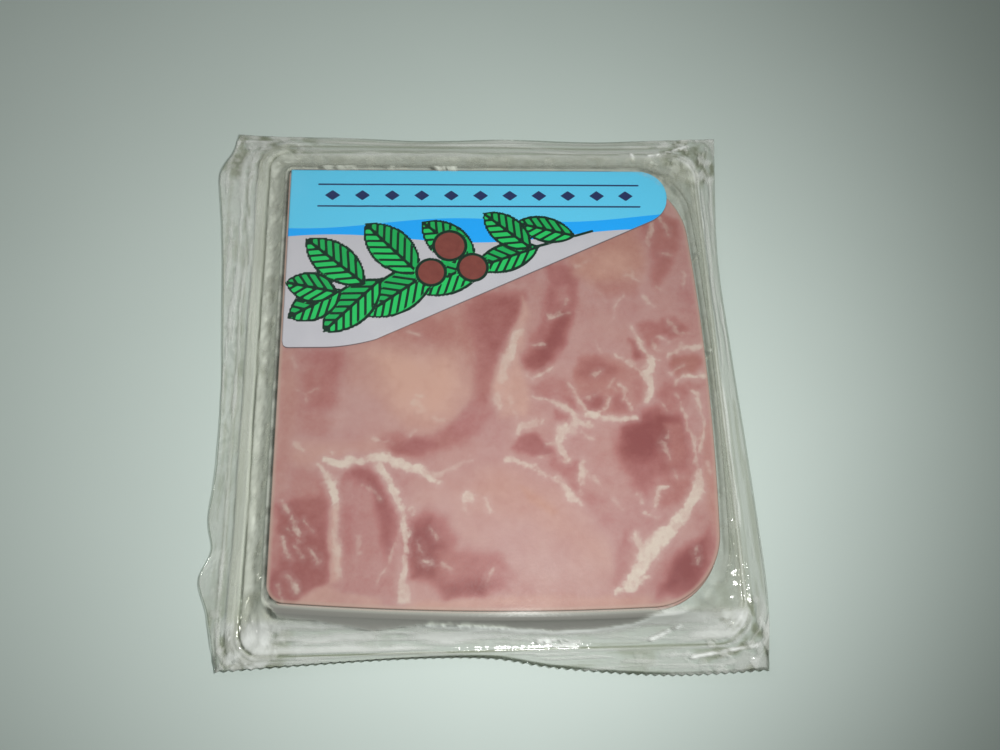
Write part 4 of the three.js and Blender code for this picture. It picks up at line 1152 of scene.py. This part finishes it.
# %% A shared effect: mottling
def make_mottling():
    """A node group: noise of a size in mm on the object's own coordinates, from 0 to 1."""
    group = bpy.data.node_groups.new("mottling", "ShaderNodeTree")
    for name, start in (("Size in mm", 1.0), ("Detail", 3.0)):
        socket = group.interface.new_socket(name, in_out="INPUT", socket_type="NodeSocketFloat")
        socket.default_value = start
    group.interface.new_socket("Value", in_out="OUTPUT", socket_type="NodeSocketFloat")
    entry, leave = group.nodes.new("NodeGroupInput"), group.nodes.new("NodeGroupOutput")
    place = add_node(group, "ShaderNodeTexCoord").outputs["Object"]
    scale = calc(group, "DIVIDE", 1000.0, entry.outputs["Size in mm"])
    inputs = {"Vector": place, "Scale": scale, "Detail": entry.outputs["Detail"]}
    noise = add_node(group, "ShaderNodeTexNoise", inputs).outputs["Fac"]
    group.links.new(noise, leave.inputs[0])
    return group


MOTTLING = make_mottling()


def mottling(tree, size, detail=3.0):
    """The mottling group placed in a material, with spots of a size in mm."""
    node = add_node(tree, "ShaderNodeGroup", node_tree=MOTTLING)
    node.inputs["Size in mm"].default_value = size
    node.inputs["Detail"].default_value = detail
    return node.outputs[0]


print("mottling group with", len(MOTTLING.nodes), "nodes")


# %% [markdown]
# ## Pork
# The meat's colour goes from dark red to a pale pink by its tone, and towards beige where a muscle is
# browner. Fat is cream and lies over it, with a soft pale seam on each side. Fine mottling
# breaks every edge. The cut face is moist, so it is smooth enough to shine a little.

# %% The pork's material
def pork_material():
    """Meat by tone and warmth, then a pale fringe, white fat and a browner rim laid over it, and painted
    shade on the slices' sides.
    """
    material, tree, shader = new_material("moist cooked pork")
    grain, speckle = mottling(tree, 2.2), mottling(tree, 0.7)
    tone = calc(tree, "MULTIPLY_ADD", calc(tree, "SUBTRACT", grain, 0.5), 0.16, attribute(tree, "tone"))
    tone = calc(tree, "MULTIPLY_ADD", calc(tree, "SUBTRACT", speckle, 0.5), 0.12, tone)
    pink = colour_ramp(tree, tone, [
        (0.05, (0.225, 0.066, 0.066)), (0.25, (0.285, 0.100, 0.098)), (0.45, (0.360, 0.158, 0.152)),
        (0.65, (0.415, 0.244, 0.230)), (0.85, (0.460, 0.305, 0.284))])
    beige = colour_ramp(tree, tone, [
        (0.1, (0.270, 0.100, 0.080)), (0.5, (0.375, 0.182, 0.148)), (0.85, (0.505, 0.312, 0.255))])
    meat = mix_colours(tree, attribute(tree, "warmth"), pink, beige)
    fat = calc(tree, "MULTIPLY_ADD", calc(tree, "SUBTRACT", speckle, 0.5), 0.9, attribute(tree, "fat"))
    fat = calc(tree, "MULTIPLY_ADD", calc(tree, "SUBTRACT", mottling(tree, 1.6), 0.5), 1.6, fat)
    clumps = step_between(tree, mottling(tree, 2.6), 0.35, 0.6, 0.6, 1.05)
    strength = calc(tree, "MULTIPLY", attribute(tree, "strength"), clumps)
    fringe = calc(tree, "MULTIPLY", step_between(tree, fat, 1.8, 0.0, 0.0, 0.45), strength)
    meat = mix_colours(tree, fringe, meat, (0.49, 0.345, 0.32, 1))
    cream = mix_colours(tree, grain, (0.52, 0.43, 0.37, 1), (0.60, 0.53, 0.455, 1))
    white = calc(tree, "MULTIPLY", step_between(tree, fat, 0.5, -0.5), strength)
    colour = mix_colours(tree, white, meat, cream)
    rim = step_between(tree, attribute(tree, "rim"), -1.3, -0.2, 0.0, 0.65)
    colour = mix_colours(tree, rim, colour, (0.44, 0.32, 0.265, 1))
    # The slices' sides are darker: painted shade, with the juice that lies against them
    side = step_between(tree, attribute(tree, "rim"), -0.3, -0.05, 0.0, 0.6)
    colour = mix_colours(tree, side, colour, (0.24, 0.165, 0.135, 1))
    tree.links.new(colour, shader.inputs["Base Color"])
    roughness = step_between(tree, speckle, 0.2, 0.8, 0.42, 0.56)
    tree.links.new(roughness, shader.inputs["Roughness"])
    shader.inputs["Specular IOR Level"].default_value = 0.2
    height = calc(tree, "ADD", calc(tree, "MULTIPLY", white, 0.5), speckle)
    bump = add_node(tree, "ShaderNodeBump", {"Height": height, "Strength": 0.15, "Distance": 0.0002})
    tree.links.new(bump.outputs[0], shader.inputs["Normal"])
    return material


pork = pork_material()
for piece in slices:
    piece.data.materials.append(pork)
print("pork on", len(slices), "slices")

# %% [markdown]
# ## The printed label
# Smooth coated paper, printed in flat inks. Each ink is chosen by the sign of a distance in mm, and
# a line's edge is only a few hundredths of a millimetre soft.

# %% The label's material
def ink_mask(tree, name, edge=0.0):
    """1 where the named distance is below the edge."""
    return step_between(tree, attribute(tree, name), edge + 0.06, edge - 0.06)


def label_material():
    """Pale ground, two blues, leaves, berries, dark lines and a dark grey line along the lower edge, each
    laid over the last.
    """
    material, tree, shader = new_material("printed label")
    ground = mix_colours(tree, mottling(tree, 9.0), (0.47, 0.475, 0.525, 1), (0.56, 0.56, 0.60, 1))
    colour = mix_colours(tree, ink_mask(tree, "mid_wave"), ground, (0.014, 0.40, 0.98, 1))
    colour = mix_colours(tree, ink_mask(tree, "light_wave"), colour, (0.118, 0.60, 0.88, 1))
    side = step_between(tree, attribute(tree, "half"), -0.3, 0.3)
    green = mix_colours(tree, side, (0.012, 0.42, 0.10, 1), (0.02, 0.56, 0.13, 1))
    colour = mix_colours(tree, ink_mask(tree, "leaf"), colour, green)
    berry = mix_colours(tree, mottling(tree, 2.0), (0.16, 0.04, 0.035, 1), (0.26, 0.075, 0.06, 1))
    colour = mix_colours(tree, ink_mask(tree, "berry"), colour, berry)
    colour = mix_colours(tree, ink_mask(tree, "ink"), colour, (0.006, 0.03, 0.018, 1))
    colour = mix_colours(tree, ink_mask(tree, "ornament"), colour, (0.02, 0.035, 0.12, 1))
    # A dark grey line along the label's lower edge
    colour = mix_colours(tree, ink_mask(tree, "lower_edge_line", 0.22), colour, (0.16, 0.14, 0.15, 1))
    tree.links.new(colour, shader.inputs["Base Color"])
    paper = mottling(tree, 0.5)
    tree.links.new(step_between(tree, paper, 0.2, 0.8, 0.3, 0.4), shader.inputs["Roughness"])
    bump = add_node(tree, "ShaderNodeBump", {"Height": paper, "Strength": 0.1, "Distance": 0.0001})
    tree.links.new(bump.outputs[0], shader.inputs["Normal"])
    return material


label.data.materials.append(label_material())
print("inks on", label.name)

# %% [markdown]
# ## The clear film
# Thin film bends light so little that glass isn't needed: light goes straight through, slightly
# tinted, and a share that grows towards a grazing view is mirrored. So the material mixes a
# Transparent shader with a mirror by how far the surface turns from the eye. The tint is set for one
# face, and a look through the margin passes four. Painted shade darkens the tint in the bar's lines
# and creases, along the cut edge and more along the blade's teeth. A dull white shader is then mixed in
# by each point's milk and painted light, and the juice band's grey, partly painted shade, or a painted
# glint sets its colour.

# %% The film's material
def film_material():
    """Clear film: light passes, tinted, or is mirrored; painted shade darkens its lines, creases and cut
    edge, and milk, juice and painted glints lie over it, the juice's grey partly painted shade.
    """
    material, tree, mirror = new_material("clear film")
    mirror.inputs["Base Color"].default_value = (0.95, 0.97, 0.96, 1)
    mirror.inputs["Metallic"].default_value = 1.0
    off_stack = step_between(tree, attribute(tree, "stack"), 0.3, 1.5)
    painted_glint, juice_and_shade = attribute(tree, "painted_glint"), attribute(tree, "juice_and_shade")
    tree.links.new(step_between(tree, juice_and_shade, 0.0, 1.0, 0.08, 0.24), mirror.inputs["Roughness"])
    rough = calc(tree, "MULTIPLY_ADD", painted_glint, 3.0, calc(tree, "MULTIPLY_ADD", off_stack, 0.9, 0.1))
    height = calc(tree, "MULTIPLY", mottling(tree, 0.8, detail=2.0), rough)
    bump = add_node(tree, "ShaderNodeBump", {"Height": height, "Strength": 0.25, "Distance": 0.0002})
    tree.links.new(bump.outputs[0], mirror.inputs["Normal"])
    layer = add_node(tree, "ShaderNodeLayerWeight", {"Blend": 0.5, "Normal": bump.outputs[0]})
    facing = layer.outputs["Facing"]
    base_share = calc(tree, "MULTIPLY_ADD", off_stack, 0.02, 0.008)
    share = calc(tree, "MULTIPLY_ADD", calc(tree, "POWER", facing, 5.0), 0.9, base_share, clamp=True)

    # The white layer's colour: cream or cool milk, which also carries painted highlights
    milk_and_painted_light_colour = mix_colours(tree, attribute(tree, "cool"), (0.79, 0.83, 0.73, 1), (0.92, 0.95, 0.91, 1))
    grey = calc(tree, "SUBTRACT", juice_and_shade, painted_glint, clamp=True)
    # Painted shade: the juice band is darker on the slope beside the slices, which faces the light less
    on_slope = step_between(tree, attribute(tree, "stack"), 1.4, 2.6)
    wet_and_shaded_colour = mix_colours(tree, on_slope, (0.25, 0.248, 0.222, 1), (0.36, 0.356, 0.326, 1))
    milk_and_painted_light_colour = mix_colours(tree, grey, milk_and_painted_light_colour, wet_and_shaded_colour)
    milk_and_painted_light = add_node(tree, "ShaderNodeBsdfDiffuse", {"Color": milk_and_painted_light_colour})

    tint = mix_colours(tree, calc(tree, "POWER", facing, 2.0), (0.998, 0.995, 0.990, 1),
                       (0.92, 0.91, 0.88, 1))
    # Painted shade of the bar's lines and the creases darkens what shows through
    tint = mix_colours(tree, attribute(tree, "shade"), tint, (0.90, 0.90, 0.87, 1), blend="MULTIPLY")
    # Painted shade along the cut edge, and deeper along the blade's teeth
    painted_cut_shade = step_between(tree, attribute(tree, "to_cut"), 0.3, 0.1)
    tint = mix_colours(tree, painted_cut_shade, tint, (0.86, 0.87, 0.85, 1))
    tint = mix_colours(tree, attribute(tree, "painted_blade_shade"), tint, (0.80, 0.81, 0.79, 1), blend="MULTIPLY")
    # The juice band, partly painted shade, darkens what shows through a little
    tint = mix_colours(tree, juice_and_shade, tint, (0.97, 0.965, 0.955, 1), blend="MULTIPLY")
    through = add_node(tree, "ShaderNodeBsdfTransparent", {"Color": tint})
    clear = add_node(tree, "ShaderNodeMixShader", {0: share, 1: through.outputs[0], 2: mirror.outputs[0]})
    haze_and_painted_light = attribute(tree, "haze_and_painted_light")
    mixed = add_node(tree, "ShaderNodeMixShader", {0: haze_and_painted_light, 1: clear.outputs[0], 2: milk_and_painted_light.outputs[0]})
    tree.links.new(mixed.outputs[0], tree.nodes["Material Output"].inputs["Surface"])
    return material


clear_film = film_material()
for piece in (film_lower, film_upper):
    piece.data.materials.append(clear_film)
print("clear film of", len(clear_film.node_tree.nodes), "nodes")

# %% [markdown]
# ## The floor and the light
# A plain pale surface, just under the pack. Most of the light comes from a small lamp beside the
# lens, whose cone fades out towards the frame's corners and which gives the films their glints. A
# weak window behind on the left and the room's grey fill the shadows.

# %% Floor, lights and world
FLOOR_REACH, FLOOR_Z = 2.0, -0.0002  # metres


def make_floor():
    """One large square just under the pack, which belongs to the stage."""
    mesh = bpy.data.meshes.new("floor")
    corners = [(-1, -1), (1, -1), (1, 1), (-1, 1)]
    mesh.from_pydata([(x * FLOOR_REACH, y * FLOOR_REACH, FLOOR_Z) for x, y in corners], [], [(0, 1, 2, 3)])
    floor = bpy.data.objects.new("floor", mesh)
    bpy.context.scene.collection.objects.link(floor)
    material, tree, shader = new_material("pale floor")
    shader.inputs["Roughness"].default_value = 0.6
    colour = mix_colours(tree, mottling(tree, 60.0), (0.545, 0.63, 0.585, 1), (0.585, 0.67, 0.625, 1))
    tree.links.new(colour, shader.inputs["Base Color"])
    mesh.materials.append(material)


def add_lamp(name, kind, place, aim, watts, **settings):
    """A lamp at a place, aimed at a point, both in mm from the datum."""
    data = bpy.data.lights.new(name, kind)
    data.energy = watts
    for key, value in settings.items():
        setattr(data, key, value)
    lamp = bpy.data.objects.new(name, data)
    lamp.location = (datum + place) * MM
    facing = Vector(np.subtract(aim, place))
    lamp.rotation_euler = facing.to_track_quat("-Z", "Y").to_euler()
    bpy.context.scene.collection.objects.link(lamp)


make_floor()
add_lamp("window", "AREA", (-750, 750, 1000), (0, 0, 0), 1.6, size=0.8)
add_lamp("lamp_by_lens", "SPOT", (22, -58, 213), (-13, 22, 0), 1.85,
         spot_size=radians(100), spot_blend=1.0, shadow_soft_size=0.006)
world = bpy.data.worlds.new("room")
world.use_nodes = True
world.node_tree.nodes["Background"].inputs["Color"].default_value = (0.125, 0.134, 0.126, 1)
world.node_tree.nodes["Background"].inputs["Strength"].default_value = 1.0
bpy.context.scene.world = world
bpy.context.scene.view_settings.view_transform = "Standard"
# Light that has been thrown back by two dull surfaces adds next to nothing here
bpy.context.scene.cycles.diffuse_bounces = 2
bpy.context.scene.cycles.glossy_bounces = 2
